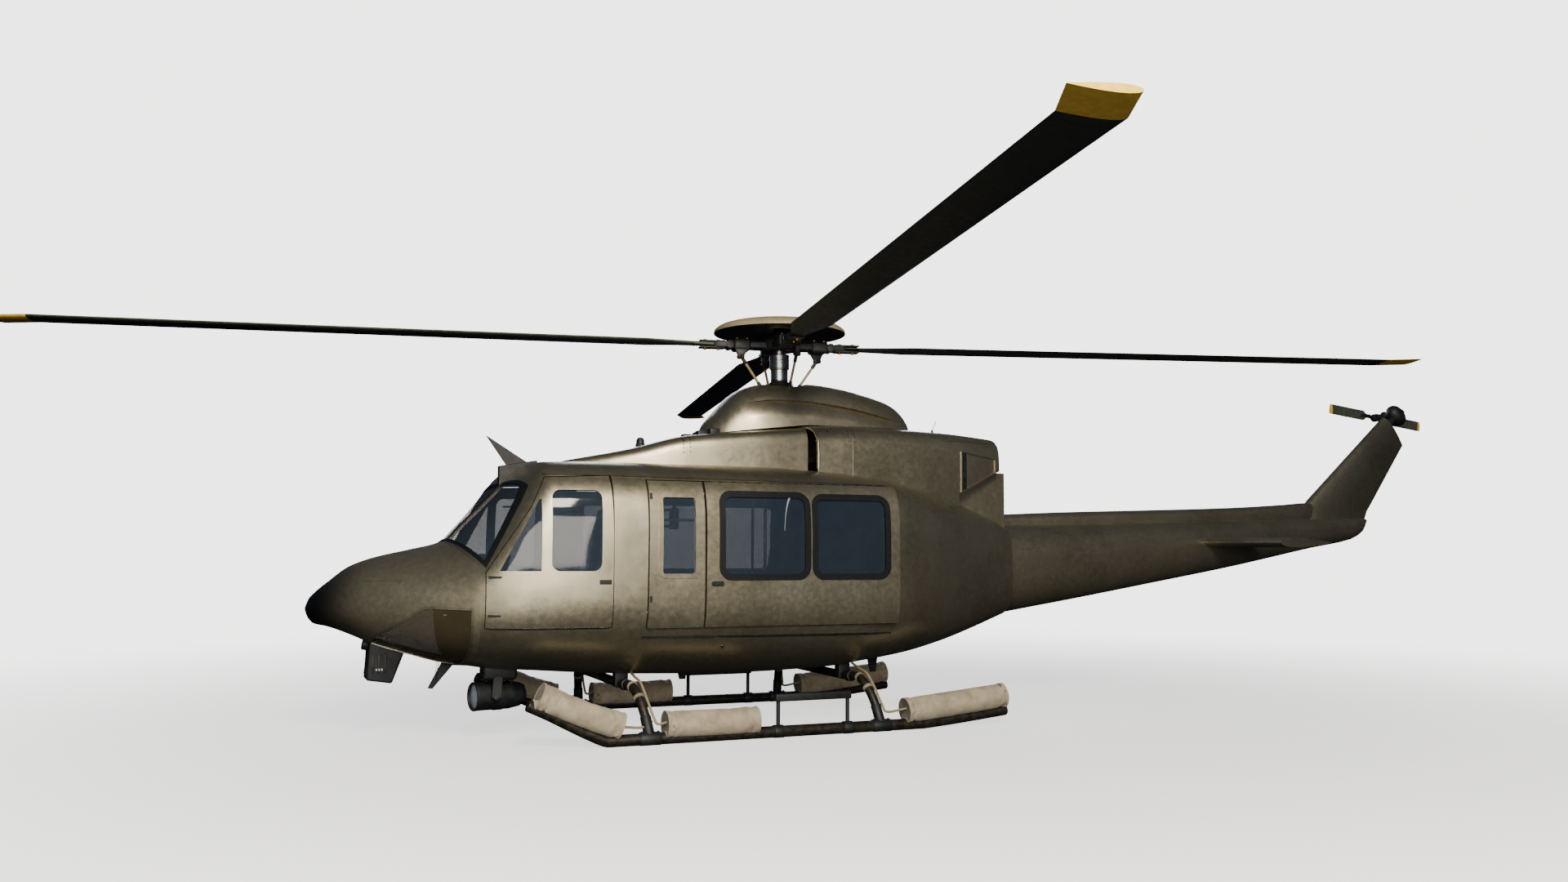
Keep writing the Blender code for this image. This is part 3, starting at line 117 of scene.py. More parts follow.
# Cowls above the roof: x, top, half width
TRANSMISSION_COWL = ((-2.15, 2.400, 0.30), (-1.60, 2.515, 0.46), (-1.13, 2.640, 0.55), (-0.50, 2.710, 0.60),
                     (0.029, 2.757, 0.62))
ENGINE_COWL = ((0.03, 2.770, 0.86), (0.40, 2.790, 0.87), (1.00, 2.785, 0.84), (1.60, 2.770, 0.76),
               (2.12, 2.740, 0.64))
ENGINE_COWL_CUT = ((0.0, 2.0), (1.58, 1.9), (1.58, 2.16), (2.13, 2.40), (2.6, 2.40), (2.6, 1.0), (0.0, 1.0))
PYLON = ((1.40, 1.80), (2.265, 1.80), (2.265, 2.385), (2.120, 2.385), (1.580, 2.155), (1.40, 2.08))
PYLON_HALF = 0.50
MAST_FAIRING = (
    (-0.810, 2.745, 0.070), (-0.770, 2.810, 0.170), (-0.660, 2.935, 0.280), (-0.520, 3.080, 0.345),
    (-0.400, 3.155, 0.385), (-0.250, 3.200, 0.415), (0.000, 3.230, 0.440), (0.270, 3.230, 0.450),
    (0.600, 3.200, 0.445), (0.810, 3.160, 0.430), (1.060, 3.100, 0.380), (1.195, 3.040, 0.320),
    (1.330, 2.916, 0.220), (1.395, 2.780, 0.110),
)
COWL_FOOT = 2.20
# Ledge along the fairing's side: x, height, depth under it
LEDGE_LINE = (
    (-0.520, 2.965, -0.003), (-0.464, 2.985, 0.008), (-0.355, 3.008, 0.028), (-0.200, 3.026, 0.038),
    (0.100, 3.024, 0.045), (0.326, 3.005, 0.048), (0.594, 2.974, 0.048), (0.821, 2.934, 0.044),
    (1.028, 2.895, 0.034), (1.180, 2.865, -0.003))
LEDGE_FADE = 0.155
FAIRING_MOUTH = 0.263
COWL_WALL = 0.022
PANEL_LINE = 0.006
TRANSMISSION_SEAM_X = -1.135
ENGINE_SEAM_X = 0.374
REAR_HATCH = (1.44, 2.665)

# Tail: x, bottom, top, half width
BOOM = (
    (2.3103, 0.945, 1.887, 0.505), (2.700, 1.000, 1.890, 0.470), (3.300, 1.085, 1.905, 0.425),
    (4.400, 1.250, 1.935, 0.350), (5.600, 1.435, 1.970, 0.270), (6.800, 1.645, 2.000, 0.190),
    (7.450, 1.750, 2.010, 0.140), (7.640, 1.840, 2.010, 0.110), (7.720, 1.960, 2.010, 0.080),
)
SHAFT_COVER = ((2.311, 1.80, 1.975, 0.175), (3.33, 1.82, 2.022, 0.165), (4.42, 1.85, 2.060, 0.145),
               (5.59, 1.88, 2.105, 0.120), (6.50, 1.92, 2.160, 0.098), (6.80, 1.94, 2.185, 0.085),
               (6.98, 1.95, 2.190, 0.050))
FIN = ((1.90, 6.66, 7.72, 0.20), (2.10, 6.74, 7.81, 0.19), (2.22, 6.86, 7.905, 0.18),
       (3.35, 8.23, 8.78, 0.10))
FIN_TOP = ((7.60, 3.70), (8.13, 3.27), (8.46, 2.93), (9.60, 1.80), (9.60, 4.50), (7.60, 4.50))
STABILISER_X = (5.00, 5.70)
STABILISER_Z = 1.705
STABILISER_TIP = 1.43
TAIL_HUB = (8.35, 0.30, 3.30)
TAIL_TIP_RADIUS = 0.775
TAIL_CHORD = 0.125
TAIL_BLADE_SLOPE = -6.0
TAIL_BLADE_THICKNESS = 0.022
TAIL_YELLOW_FROM = 0.74

# Main rotor
ROTOR_Z = 3.595
ROTOR_RADIUS = 7.01
BLADE_ROOT = 0.661
BLADE_THICKNESS = 0.044
BLADE_SECTIONS = ((BLADE_ROOT, 0.13, 0.065), (0.85, 0.17, 0.085), (1.30, 0.38, 0.19), (6.68, 0.38, 0.19),
                  (ROTOR_RADIUS, 0.38, 0.09))
BLADE_STANCES = ((-11.7, 0.8), (78.4, 0.0), (168.4, 0.0), (259.5, 0.8))
YELLOW_FROM = 6.68
# Turned profiles, as radius and height from the rotor's plane
HUB_PROFILE = (
    (0, -0.0456), (0.17, -0.0456), (0.19, -0.020), (0.19, 0.045), (0.12, 0.090), (0.05, 0.165), (0, 0.165))
CAP_PROFILE = (
    (0.0, 0.170), (0.12, 0.170), (0.12, 0.223), (0.30, 0.219), (0.495, 0.203), (0.575, 0.183),
    (0.625, 0.150), (0.635, 0.118), (0.640, 0.1175), (0.650, 0.123), (0.646, 0.140), (0.640, 0.157),
    (0.615, 0.178), (0.585, 0.195), (0.54, 0.209), (0.50, 0.218), (0.40, 0.227), (0.30, 0.233),
    (0.15, 0.237), (0.0, 0.238))
MAST_SLEEVE = (
    (0, -0.525), (0.055, -0.525), (0.055, -0.345), (0.080, -0.345), (0.084, -0.341), (0.084, -0.229),
    (0.097, -0.222), (0.097, -0.086), (0.092, -0.080), (0.055, -0.080), (0.055, -0.047), (0, -0.047))
GOLD_RINGS = ((0.0975, -0.215), (0.0975, -0.095), (0.0845, -0.236), (0.0845, -0.338))
SWASHPLATE = ((0.06, -0.440), (0.155, -0.440), (0.160, -0.435), (0.168, -0.410), (0.164, -0.402),
              (0.125, -0.386), (0.118, -0.383), (0.090, -0.350), (0.060, -0.350))
ARM = ((0.05, -0.12), (0.62, -0.075), (0.66, -0.06), (0.66, 0.06), (0.62, 0.075), (0.05, 0.12))
ARM_HALF = 0.03
GRIP = ((0.30, -0.11, -0.055), (0.47, 0.11, 0.055))
HORN = ((0.32, -0.036), (0.38, -0.136), (0.42, -0.136), (0.46, -0.036))
HORN_Y = (0.06, 0.10)
LINK = ((0.40, 0.08, -0.111), (0.192, 0.06, -0.413))
LINK_RADIUS = 0.013
LUG = ((0.42, 0.05, -0.121), (0.38, 0.11, -0.121))
LUG_RADIUS = 0.022

# Landing gear
SKID_Y = 1.18
SKID_RADIUS = 0.05
FRONT_FOOT_X = -1.65
REAR_FOOT_X = 0.50
CROSS_RADIUS = 0.04
BAG_RADIUS = 0.118
SKID_TOE = ((-2.66, 0.365), (-2.50, 0.290), (-2.30, 0.185), (-2.15, 0.110), (-2.00, SKID_RADIUS),
            (-1.80, SKID_RADIUS))
SKID_RUN = (-0.4, 0.85)
SKID_HEEL = ((0.95, 0.051), (1.30, 0.080), (1.80, 0.130))
STEP_BAR_X = (-0.53, 0.195)
STEP_BAR_Z = (0.305, 0.370)
STEP_POSTS_X = (-0.50, 0.165)
# Cross tube leg: y, height and lean of its path from the skid up to the belly
CROSS_LEG = ((-SKID_Y, 0.06, 0.0), (-1.13, 0.20, -0.018), (-1.03, 0.36, -0.048), (-0.88, 0.455, -0.072),
             (-0.68, 0.445, -0.078), (-0.40, 0.445, -0.078))
BAGS = {"front": ((-2.58, 0.435), (-1.90, 0.165)), "middle": ((-1.52, 0.160), (-0.70, 0.160)),
        "rear": ((0.74, 0.170), (1.775, 0.265))}
BAG_AROUND = 60
# Cloth simulation that blows the bags up: its pressure, its frames and how far a point may move
SWELL_PRESSURE = 4.0
SWELL_FRAMES = 20
SWELL_CAP = 0.010
HOSE_RADIUS = 0.011

# Fittings, as side outlines in X and Z and half widths
UPPER_CUTTER = ((-2.837, 2.611), (-2.645, 2.340), (-2.645, 2.150), (-2.40, 2.150), (-2.40, 2.340))
LOWER_CUTTER = ((-3.28, 0.405), (-3.24, 0.400), (-2.99, 0.70), (-3.13, 0.70))
CUTTER_HALF = 0.012
SENSOR_BOX = ((-3.80, 0.500), (-3.59, 0.468), (-3.47, 0.80), (-3.78, 0.95))
SENSOR_HALF = 0.13
LAMP_PLACE = (-2.95, -0.45, 0.37)
LAMP_YAW = 12.0
LAMP_DRUM = (
    (0, 0.006), (0.104, 0.006), (0.106, -0.026), (0.114, -0.030), (0.121, -0.024), (0.122, -0.010),
    (0.119, 0.012), (0.119, 0.285), (0.115, 0.305), (0.102, 0.380), (0.082, 0.420), (0.050, 0.438),
    (0, 0.440))
SCOOP = ((1.608, 2.170), (2.063, 2.377), (2.063, 2.509), (1.611, 2.566))
# Length of the scoop's mouth, drawn as a black strip of painted shade
SCOOP_MOUTH = 0.075
EXHAUST_Y = 0.30
EXHAUST_Z = 2.57
EXHAUST_HOLE = 0.122
ENGINE_BLOCK = ((0.75, -0.55, 2.42), (1.75, 0.55, 2.66))

# Cabin; seats are front x, half width, depth, top of the back, height of the cushion's top
CONSOLE = ((-2.95, -0.70, 1.28), (-2.72, 0.70, 1.56))
PEDESTAL = ((-2.80, -0.16, 0.9303), (-2.05, 0.16, 1.30))
CREW_SEAT = (-2.45, 0.27, 0.48, 1.95, 0.40)
CREW_SEAT_Y = 0.55
REAR_BENCH = (-0.10, 1.05, 0.45, 1.80, 0.36)

# Strength of the backdrop's and the far floor's glow
PALE = 4.0


# Colours and node materials

def linear(code):
    """Linear colour from an sRGB hex code."""
    steps = [int(code[i:i + 2], 16) / 255 for i in (0, 2, 4)]
    return (*[s / 12.92 if s <= 0.04045 else ((s + 0.055) / 1.055) ** 2.4 for s in steps], 1.0)


def set_sockets(tree, node, sockets):
    """Gives sockets their values; a value is a number, a colour, an output or a node, for its first one."""
    for name, value in sockets.items():
        if isinstance(value, bpy.types.Node):
            value = value.outputs[0]
        if isinstance(value, bpy.types.NodeSocket):
            tree.links.new(value, node.inputs[name])
        else:
            node.inputs[name].default_value = value


def add_node(tree, kind, sockets, stops=(), **settings):
    """Node with its settings and links; stops are a colour ramp's places and hex colours."""
    node = tree.nodes.new("ShaderNode" + kind)
    for name, value in settings.items():
        setattr(node, name, value)
    for index, (position, code) in enumerate(stops):
        band = node.color_ramp.elements
        if index == len(band):
            band.new(position)
        band[index].position = position
        band[index].color = linear(code)
    set_sockets(tree, node, sockets)
    return node


def new_material(name):
    material = bpy.data.materials.new(name)
    material.use_nodes = True
    tree = material.node_tree
    place = add_node(tree, "TexCoord", {}).outputs["Object"]
    return material, tree, tree.nodes["Principled BSDF"], place


def sprayed_enamel(name, dark, middle, light, metallic, roughness, coat=0.0, tip="", grit_mm=0.0):
    """Sprayed enamel on aluminium sheet: faint cloudiness, orange peel and rain streaks down the sides.

    A tip colour darkens the nose towards its point: the radome's dark paint, drawn as a soft fade past the
    radome seam that also paints shade over the nose. Grit strews sand of that size over the colour.
    """
    material, tree, shader, place = new_material(name)
    cloud = add_node(tree, "TexNoise", {"Vector": place, "Scale": 1.3, "Detail": 5.0, "Roughness": 0.6})
    fine = add_node(tree, "TexNoise", {"Vector": place, "Scale": 22.0, "Detail": 4.0, "Roughness": 0.7})
    mixed = add_node(tree, "Math", {0: fine, 1: 0.22, 2: cloud}, operation="MULTIPLY_ADD")
    base = add_node(tree, "ValToRGB", {"Fac": mixed}, ((0.40, dark), (0.60, middle), (0.85, light)))
    colour = base
    drawn_out = add_node(tree, "Mapping", {"Vector": place, "Scale": (9.0, 9.0, 0.8)})
    streaks = add_node(tree, "TexNoise", {"Vector": drawn_out, "Scale": 3.0, "Detail": 6.0})
    grime = add_node(tree, "MapRange", {"Value": streaks, "From Min": 0.55, "From Max": 0.8, "To Max": 0.22})
    colour = add_node(
        tree, "Mix", {"Factor": grime, 6: colour, 7: linear(dark)}, data_type="RGBA").outputs[2]
    if grit_mm:
        sand = add_node(tree, "TexNoise", {"Vector": place, "Scale": 1000.0 / grit_mm, "Detail": 3.0})
        share = add_node(
            tree, "MapRange", {"Value": sand, "From Min": 0.45, "From Max": 0.62, "To Max": 0.8})
        colour = add_node(
            tree, "Mix", {"Factor": share, 6: colour, 7: linear(light)}, data_type="RGBA").outputs[2]
    # Painted shade: the nose darkens smoothly towards its point, partly the radome's dark paint and partly
    # shade painted into the colour
    if tip:
        along = add_node(tree, "SeparateXYZ", {"Vector": place})
        nose_tip_painted_shade = add_node(
            tree, "MapRange",
            {"Value": along.outputs["X"], "From Min": MAST_X - 4.24, "From Max": MAST_X - 3.80,
             "To Min": 1.0, "To Max": 0.0}, interpolation_type="SMOOTHSTEP")
        colour = add_node(
            tree, "Mix", {"Factor": nose_tip_painted_shade, 6: colour, 7: linear(tip)}, data_type="RGBA").outputs[2]
    gloss = add_node(
        tree, "MapRange",
        {"Value": fine, "From Min": 0.3, "From Max": 0.7, "To Min": roughness - 0.04,
         "To Max": roughness + 0.06})
    # Orange peel of sprayed paint, 3 mm across, over sheet that is never quite flat
    peel = add_node(tree, "TexNoise", {"Vector": place, "Scale": 330.0, "Detail": 2.0})
    sheet = add_node(tree, "TexNoise", {"Vector": place, "Scale": 3.2, "Detail": 1.0})
    waves = add_node(tree, "Bump", {"Height": sheet, "Distance": 0.006})
    skin = add_node(tree, "Bump", {"Height": peel, "Distance": 0.00012, "Normal": waves})
    set_sockets(tree, shader, {"Base Color": colour, "Metallic": metallic, "Roughness": gloss,
                               "Coat Weight": coat, "Coat Roughness": 0.2, "Normal": skin})
    return material


def tinted_acrylic(name, code, light, alpha):
    """Cast acrylic window: smoke tint, polished, with faint smears."""
    material, tree, shader, place = new_material(name)
    smear = add_node(tree, "TexNoise", {"Vector": place, "Scale": 6.0, "Detail": 6.0, "Roughness": 0.65})
    tint = add_node(tree, "ValToRGB", {"Fac": smear}, ((0.3, code), (0.8, light)))
    gloss = add_node(tree, "MapRange",
                     {"Value": smear, "From Min": 0.35, "From Max": 0.75, "To Min": 0.03, "To Max": 0.09})
    # Cast sheet is flat to about a millimetre over half a metre
    cast = add_node(tree, "TexNoise", {"Vector": place, "Scale": 2.5, "Detail": 0.0})
    ripple = add_node(tree, "Bump", {"Height": cast, "Distance": 0.004})
    set_sockets(tree, shader,
                {"Base Color": tint, "Roughness": gloss, "IOR": 1.49, "Alpha": alpha, "Normal": ripple})
    return material


def moulded_rubber(name, dark, light):
    """Extruded rubber: dull, slightly chalky on its high spots."""
    material, tree, shader, place = new_material(name)
    chalk = add_node(tree, "TexNoise", {"Vector": place, "Scale": 60.0, "Detail": 5.0})
    tint = add_node(tree, "ValToRGB", {"Fac": chalk}, ((0.35, dark), (0.75, light)))
    gloss = add_node(
        tree, "MapRange", {"Value": chalk, "From Min": 0.3, "From Max": 0.7, "To Min": 0.5, "To Max": 0.7})
    # Moulding grain, 2 mm
    grain = add_node(tree, "TexNoise", {"Vector": place, "Scale": 500.0, "Detail": 2.0})
    relief = add_node(tree, "Bump", {"Height": grain, "Distance": 0.0003})
    set_sockets(tree, shader,
                {"Base Color": tint, "Roughness": gloss, "Specular IOR Level": 0.25, "Normal": relief})
    return material


def brushed_enamel(name, dark, light, roughness=0.45, metallic=0.0, grain_mm=4.0, depth=0.0002):
    """Enamel on castings and fittings, rubbed lighter where it is handled."""
    material, tree, shader, place = new_material(name)
    wear = add_node(tree, "TexNoise", {"Vector": place, "Scale": 18.0, "Detail": 7.0, "Roughness": 0.7})
    tint = add_node(tree, "ValToRGB", {"Fac": wear}, ((0.4, dark), (0.72, light)))
    gloss = add_node(
        tree, "MapRange",
        {"Value": wear, "From Min": 0.3, "From Max": 0.7, "To Min": roughness - 0.08,
         "To Max": roughness + 0.12})
    grain = add_node(tree, "TexNoise", {"Vector": place, "Scale": 1000.0 / grain_mm, "Detail": 3.0})
    relief = add_node(tree, "Bump", {"Height": grain, "Distance": depth})
    set_sockets(tree, shader,
                {"Base Color": tint, "Roughness": gloss, "Metallic": metallic, "Normal": relief})
    return material


def turned_metal(name, dark, light, roughness=0.3):
    """Turned and plated metal: fine rings round the mast and slight discolouring."""
    material, tree, shader, place = new_material(name)
    stain = add_node(tree, "TexNoise", {"Vector": place, "Scale": 9.0, "Detail": 6.0})
    tint = add_node(tree, "ValToRGB", {"Fac": stain}, ((0.3, dark), (0.7, light)))
    # Tool marks 12 mm apart, drawn coarser than the real 0.5 mm so that they show
    rings = add_node(tree, "TexWave", {"Vector": place, "Scale": 13.0, "Distortion": 0.6, "Detail": 2.0},
                     wave_type="BANDS", bands_direction="Z")
    gloss = add_node(tree, "MapRange",
                     {"Value": rings.outputs["Fac"], "To Min": roughness - 0.05, "To Max": roughness + 0.1})
    relief = add_node(tree, "Bump", {"Height": rings.outputs["Fac"], "Distance": 0.0001})
    set_sockets(tree, shader, {"Base Color": tint, "Roughness": gloss, "Metallic": 1.0, "Normal": relief})
    return material


def woven_cloth(name, dark, middle, light, thread_mm=4.0, creases_mm=12.0):
    """Coated woven nylon: a plain weave drawn coarser than its real 1 mm threads so that it shows."""
    material, tree, shader, place = new_material(name)
    surface = add_node(tree, "UVMap", {}, uv_map="cloth").outputs["UV"]
    folds = add_node(tree, "TexNoise", {"Vector": place, "Scale": 7.0, "Detail": 6.0, "Roughness": 0.6})
    waves = {"Vector": surface, "Scale": 500.0 / thread_mm / pi, "Distortion": 0.5}
    warp = add_node(tree, "TexWave", waves, wave_type="BANDS", bands_direction="X")
    weft = add_node(tree, "TexWave", waves, wave_type="BANDS", bands_direction="Y")
    threads = add_node(tree, "Math", {0: warp.outputs["Fac"], 1: weft.outputs["Fac"]}, operation="MAXIMUM")
    # The cloth is darker in the hollows of its crease relief and lighter on the crests, from the same noise
    fold_tone = add_node(tree, "MapRange", {"Value": folds, "From Min": 0.25, "From Max": 0.75, "To Max": 0.8})
    shade = add_node(tree, "Math", {0: threads, 1: 0.18, 2: fold_tone}, operation="MULTIPLY_ADD")
    tint = add_node(tree, "ValToRGB", {"Fac": shade}, ((0.2, dark), (0.5, middle), (0.85, light)))
    creases = add_node(tree, "Bump", {"Height": folds, "Distance": creases_mm / 1000.0})
    relief = add_node(tree, "Bump", {"Height": threads, "Distance": 0.0006, "Normal": creases})
    set_sockets(tree, shader, {"Base Color": tint, "Roughness": 0.85, "Sheen Weight": 0.25,
                               "Sheen Roughness": 0.5, "Normal": relief})
    return material


def stage_floor(name):
    """Pale floor that throws little light back up at the machine."""
    material, tree, shader, place = new_material(name)
    cloud = add_node(tree, "TexNoise", {"Vector": place, "Scale": 0.4, "Detail": 3.0})
    tint = add_node(tree, "ValToRGB", {"Fac": cloud}, ((0.3, "e9e9e6"), (0.7, "f1f1ee")))
    set_sockets(tree, shader, {"Base Color": tint, "Roughness": 0.9, "Specular IOR Level": 0.1})
    # Away from the machine the floor glows as pale as the backdrop, so that no horizon line shows
    reach = add_node(tree, "VectorMath", {0: place}, operation="LENGTH")
    far = add_node(
        tree, "MapRange",
        {"Value": reach.outputs["Value"], "From Min": 3.0, "From Max": 15.0, "To Min": 0.35},
        interpolation_type="SMOOTHSTEP")
    glow = add_node(tree, "Emission", {"Color": linear("f6f6f4"), "Strength": PALE})
    seen = add_node(tree, "MixShader", {"Fac": far, 1: shader.outputs["BSDF"], 2: glow.outputs["Emission"]})
    dim = add_node(tree, "BsdfDiffuse", {"Color": linear("2a2c30")})
    path = add_node(tree, "LightPath", {})
    both = add_node(
        tree, "MixShader",
        {"Fac": path.outputs["Is Camera Ray"], 1: dim.outputs["BSDF"], 2: seen.outputs["Shader"]})
    set_sockets(tree, tree.nodes["Material Output"], {"Surface": both.outputs["Shader"]})
    return material


FINISH = {
    "khaki": sprayed_enamel("khaki_metallic_enamel", "938d78", "a49e89", "afa995", 0.92, 0.36, 0.1),
    # The nose finish paints shade over the nose tip, on top of the radome's dark paint
    "nose": sprayed_enamel("khaki_enamel_painted_nose_shade", "938d78", "a49e89", "afa995", 0.88, 0.38, 0.1, tip="25282c"),
    "cap": sprayed_enamel("gritty_khaki_cap_enamel", "7d7458", "9a8f70", "b7ab8a", 0.3, 0.62, grit_mm=9.0),
    "inside": brushed_enamel("vinyl_cabin_lining", "2e3134", "43474a", 0.75, grain_mm=9.0, depth=0.0006),
    "glass": tinted_acrylic("smoke_acrylic", "2a3441", "303b48", 0.66),
    "clear": tinted_acrylic("clear_acrylic", "36424f", "3d4957", 0.42),
    "bronze": tinted_acrylic("bronze_acrylic", "3d3629", "453e30", 0.72),
    "lens": tinted_acrylic("pale_lamp_glass", "8b9dad", "aebcc8", 0.92),
    "screen": tinted_acrylic("instrument_glass", "10161c", "1d262f", 1.0),
    "rubber": moulded_rubber("black_window_rubber", "0b0e12", "161a1f"),
    "hose": moulded_rubber("tan_hose_rubber", "857a60", "a39679"),
    "black": brushed_enamel("satin_black_enamel", "0b0e12", "1a1e23", 0.55),
    "floor": brushed_enamel("grey_floor_paint", "4d5050", "63666a", 0.7, grain_mm=12.0, depth=0.0008),
    "tan": brushed_enamel("tan_rod_enamel", "7a6c4c", "a08f68", 0.4),
    "metal": turned_metal("plated_steel", "8d9298", "c3c7cc", 0.26),
    "dull_metal": turned_metal("heat_stained_engine_steel", "4b4640", "7a746a", 0.5),
    "gold": turned_metal("cadmium_plated_steel", "8a6a2e", "c79a45", 0.35),
    # Black for the blades' undersides, as painted shade under the blades
    "blade": brushed_enamel("blade_underside_painted_shade", "1c2123", "2b3133", 0.55),
    "olive": brushed_enamel("matt_olive_blade_paint", "4a5038", "646b49", 0.55),
    "tail_blade": brushed_enamel("olive_grey_blade_paint", "3c4139", "50564a", 0.5),
    "yellow": brushed_enamel("yellow_tip_enamel", "e2b63a", "f8d25c", 0.45),
    "skid": brushed_enamel("bronze_black_skid_enamel", "1b1a18", "3a352c", 0.42, 0.35),
    "worn": brushed_enamel("scuffed_skid_shoe_steel", "2b2825", "6d675c", 0.5, 0.6),
    "cloth": woven_cloth("coated_nylon_bag_cloth", "8c816c", "a59a83", "b9af98"),
    # Darker cloth on the bags' end faces, as painted shade of their folded ends
    "dark_cloth": woven_cloth("nylon_end_cloth_painted_fold_shade", "3a3730", "565145", "6e685a"),
    "seat": woven_cloth("woven_seat_cloth", "4d4a41", "5f5b50", "747062", 5.0, 6.0),
    "strap": woven_cloth("webbing_strap", "6f6654", "8a8069", "9c927b", 6.0, 2.0),
    "red": brushed_enamel("red_bottle_enamel", "9c1d14", "c23323", 0.3),
    "white": brushed_enamel("white_marking_enamel", "c9c7c0", "e4e2dc", 0.4),
}

# The record's material slot of each finish, unless a piece names another
SLOT_FINISHES = {
    "bag_cloth": "cloth",
    "bare_metal": "dull_metal gold metal white",
    "black_paint": "black inside nose red rubber tan",
    "blade_paint": "blade",
    "khaki_paint": "cap khaki",
    "olive_paint": "tail_blade",
    "seat_cloth": "seat strap",
    "skid_paint": "hose skid",
    "tinted_glass": "bronze clear glass lens screen",
}


# Shapes

def new_object(name, data):
    """Object in the scene."""
    item = bpy.data.objects.new(name, data)
    bpy.context.scene.collection.objects.link(item)
    return item


@lru_cache(maxsize=None)
def smooth(rows, x):
    """Values of a table at x, on a curve through its rows that never overshoots."""
    x = min(max(x, rows[0][0]), rows[-1][0])
    index = max(i for i in range(len(rows) - 1) if rows[i][0] <= x)
    left, right = rows[index], rows[index + 1]
    width = right[0] - left[0]
    t = (x - left[0]) / width
    values = []
    for column in range(1, len(left)):
        start = slope_at(rows, index, column) * width
        end = slope_at(rows, index + 1, column) * width
        a, b = left[column], right[column]
        values.append(a + t * start + t * t * (3 * (b - a) - 2 * start - end)
                      + t * t * t * (2 * (a - b) + start + end))
    return tuple(values)


def slope_at(rows, index, column):
    """Harmonic mean of the slopes on both sides of a row, or the one slope at an end."""
    slopes = []
    for i in (index - 1, index):
        if 0 <= i < len(rows) - 1:
            slopes.append((rows[i + 1][column] - rows[i][column]) / (rows[i + 1][0] - rows[i][0]))
    if len(slopes) == 1:
        return slopes[0]
    if slopes[0] * slopes[1] <= 0:
        return 0.0
    return 2 * slopes[0] * slopes[1] / (slopes[0] + slopes[1])


def signed_power(value, power):
    return (1 if value >= 0 else -1) * abs(value) ** power


def oval(turn, bottom, top, half, widest, power_top, power_bottom):
    """Point of a superellipse section; turn 0 is at the bottom, 0.25 to port, 0.5 at the top."""
    # A full turn comes back to exactly the first point, so that the seam of a skin closes
    angle = 2 * pi * (turn % 1.0)
    up = cos(angle) < 0
    power = 2.0 / (power_top if up else power_bottom)
    y = -half * signed_power(sin(angle), power)
    reach = (top - widest) if up else (widest - bottom)
    z = widest - reach * signed_power(cos(angle), power)
    return y, z


def inset_oval(turn, inset, values):
    """Section point moved inwards square to the section."""
    y, z = oval(turn, *values)
    if inset == 0:
        return y, z
    step = 0.002
    y0, z0 = oval(turn - step, *values)
    y1, z1 = oval(turn + step, *values)
    ty, tz = y1 - y0, z1 - z0
    length = hypot(ty, tz)
    return y + inset * tz / length, z - inset * ty / length


def body_point(x, turn, inset=0.0):
    y, z = inset_oval(turn, inset, smooth(BODY, x))
    return Vector((x, y, z))


def door_point(x, turn, inset=0.0):
    """Point on the sliding door's skin, whose section is the same all along X."""
    y, z = inset_oval(turn, inset, smooth(BODY, DOOR_SECTION_X))
    return Vector((x, y, z))


def cowl_point(rows, power):
    def point(x, turn, inset=0.0):
        top, half = smooth(rows, x)
        y, z = inset_oval(turn, inset, (COWL_FOOT - 0.6, top, half, top - 0.42, power, 9.0))
        return Vector((x, y, z))
    return point


def pulled_in(rows, power):
    def point(x, turn, inset=0.0):
        bottom, top, half = smooth(rows, x)
        y, z = inset_oval(turn, inset, (bottom, top, half, (bottom + top) / 2, power, power))
        return Vector((x, y, z))
    return point


def stations_between(start, end, step=STATION):
    """Evenly spread stations from start to end."""
    count = max(1, round((end - start) / step))
    return [start + (end - start) * i / count for i in range(count + 1)]


def loft(point, stations, around=AROUND):
    """Closed skin through point(station, turn), with flat ends."""
    shape = bmesh.new()
    rows = len(stations) - 1
    bmesh.ops.create_grid(shape, x_segments=rows, y_segments=around, size=0.5)
    for vert in shape.verts:
        row = round((vert.co.x + 0.5) * rows)
        vert.co = point(stations[row], round((vert.co.y + 0.5) * around) / around)
    bmesh.ops.remove_doubles(shape, verts=shape.verts, dist=MERGE)
    bmesh.ops.holes_fill(shape, edges=[edge for edge in shape.edges if edge.is_boundary], sides=0)
    bmesh.ops.recalc_face_normals(shape, faces=shape.faces)
    return shape


def layer(point, stations, outer, inner, around=AROUND):
    """Wall between two insets of a skin, closed at both ends."""
    shape = bmesh.new()
    rows = len(stations) - 1
    rings = []
    for inset in (outer, inner):
        before = set(shape.verts)
        bmesh.ops.create_grid(shape, x_segments=rows, y_segments=around, size=0.5)
        rims = {}
        for vert in [v for v in shape.verts if v not in before]:
            row, column = round((vert.co.x + 0.5) * rows), round((vert.co.y + 0.5) * around)
            vert.co = point(stations[row], column / around, inset)
            if row in (0, rows):
                rims[row, column] = vert
        rings.append(rims)
    for row in (0, rows):
        for column in range(around):
            shape.faces.new((rings[0][row, column], rings[0][row, column + 1],
                             rings[1][row, column + 1], rings[1][row, column]))
    bmesh.ops.remove_doubles(shape, verts=shape.verts, dist=MERGE)
    bmesh.ops.recalc_face_normals(shape, faces=shape.faces)
    return shape


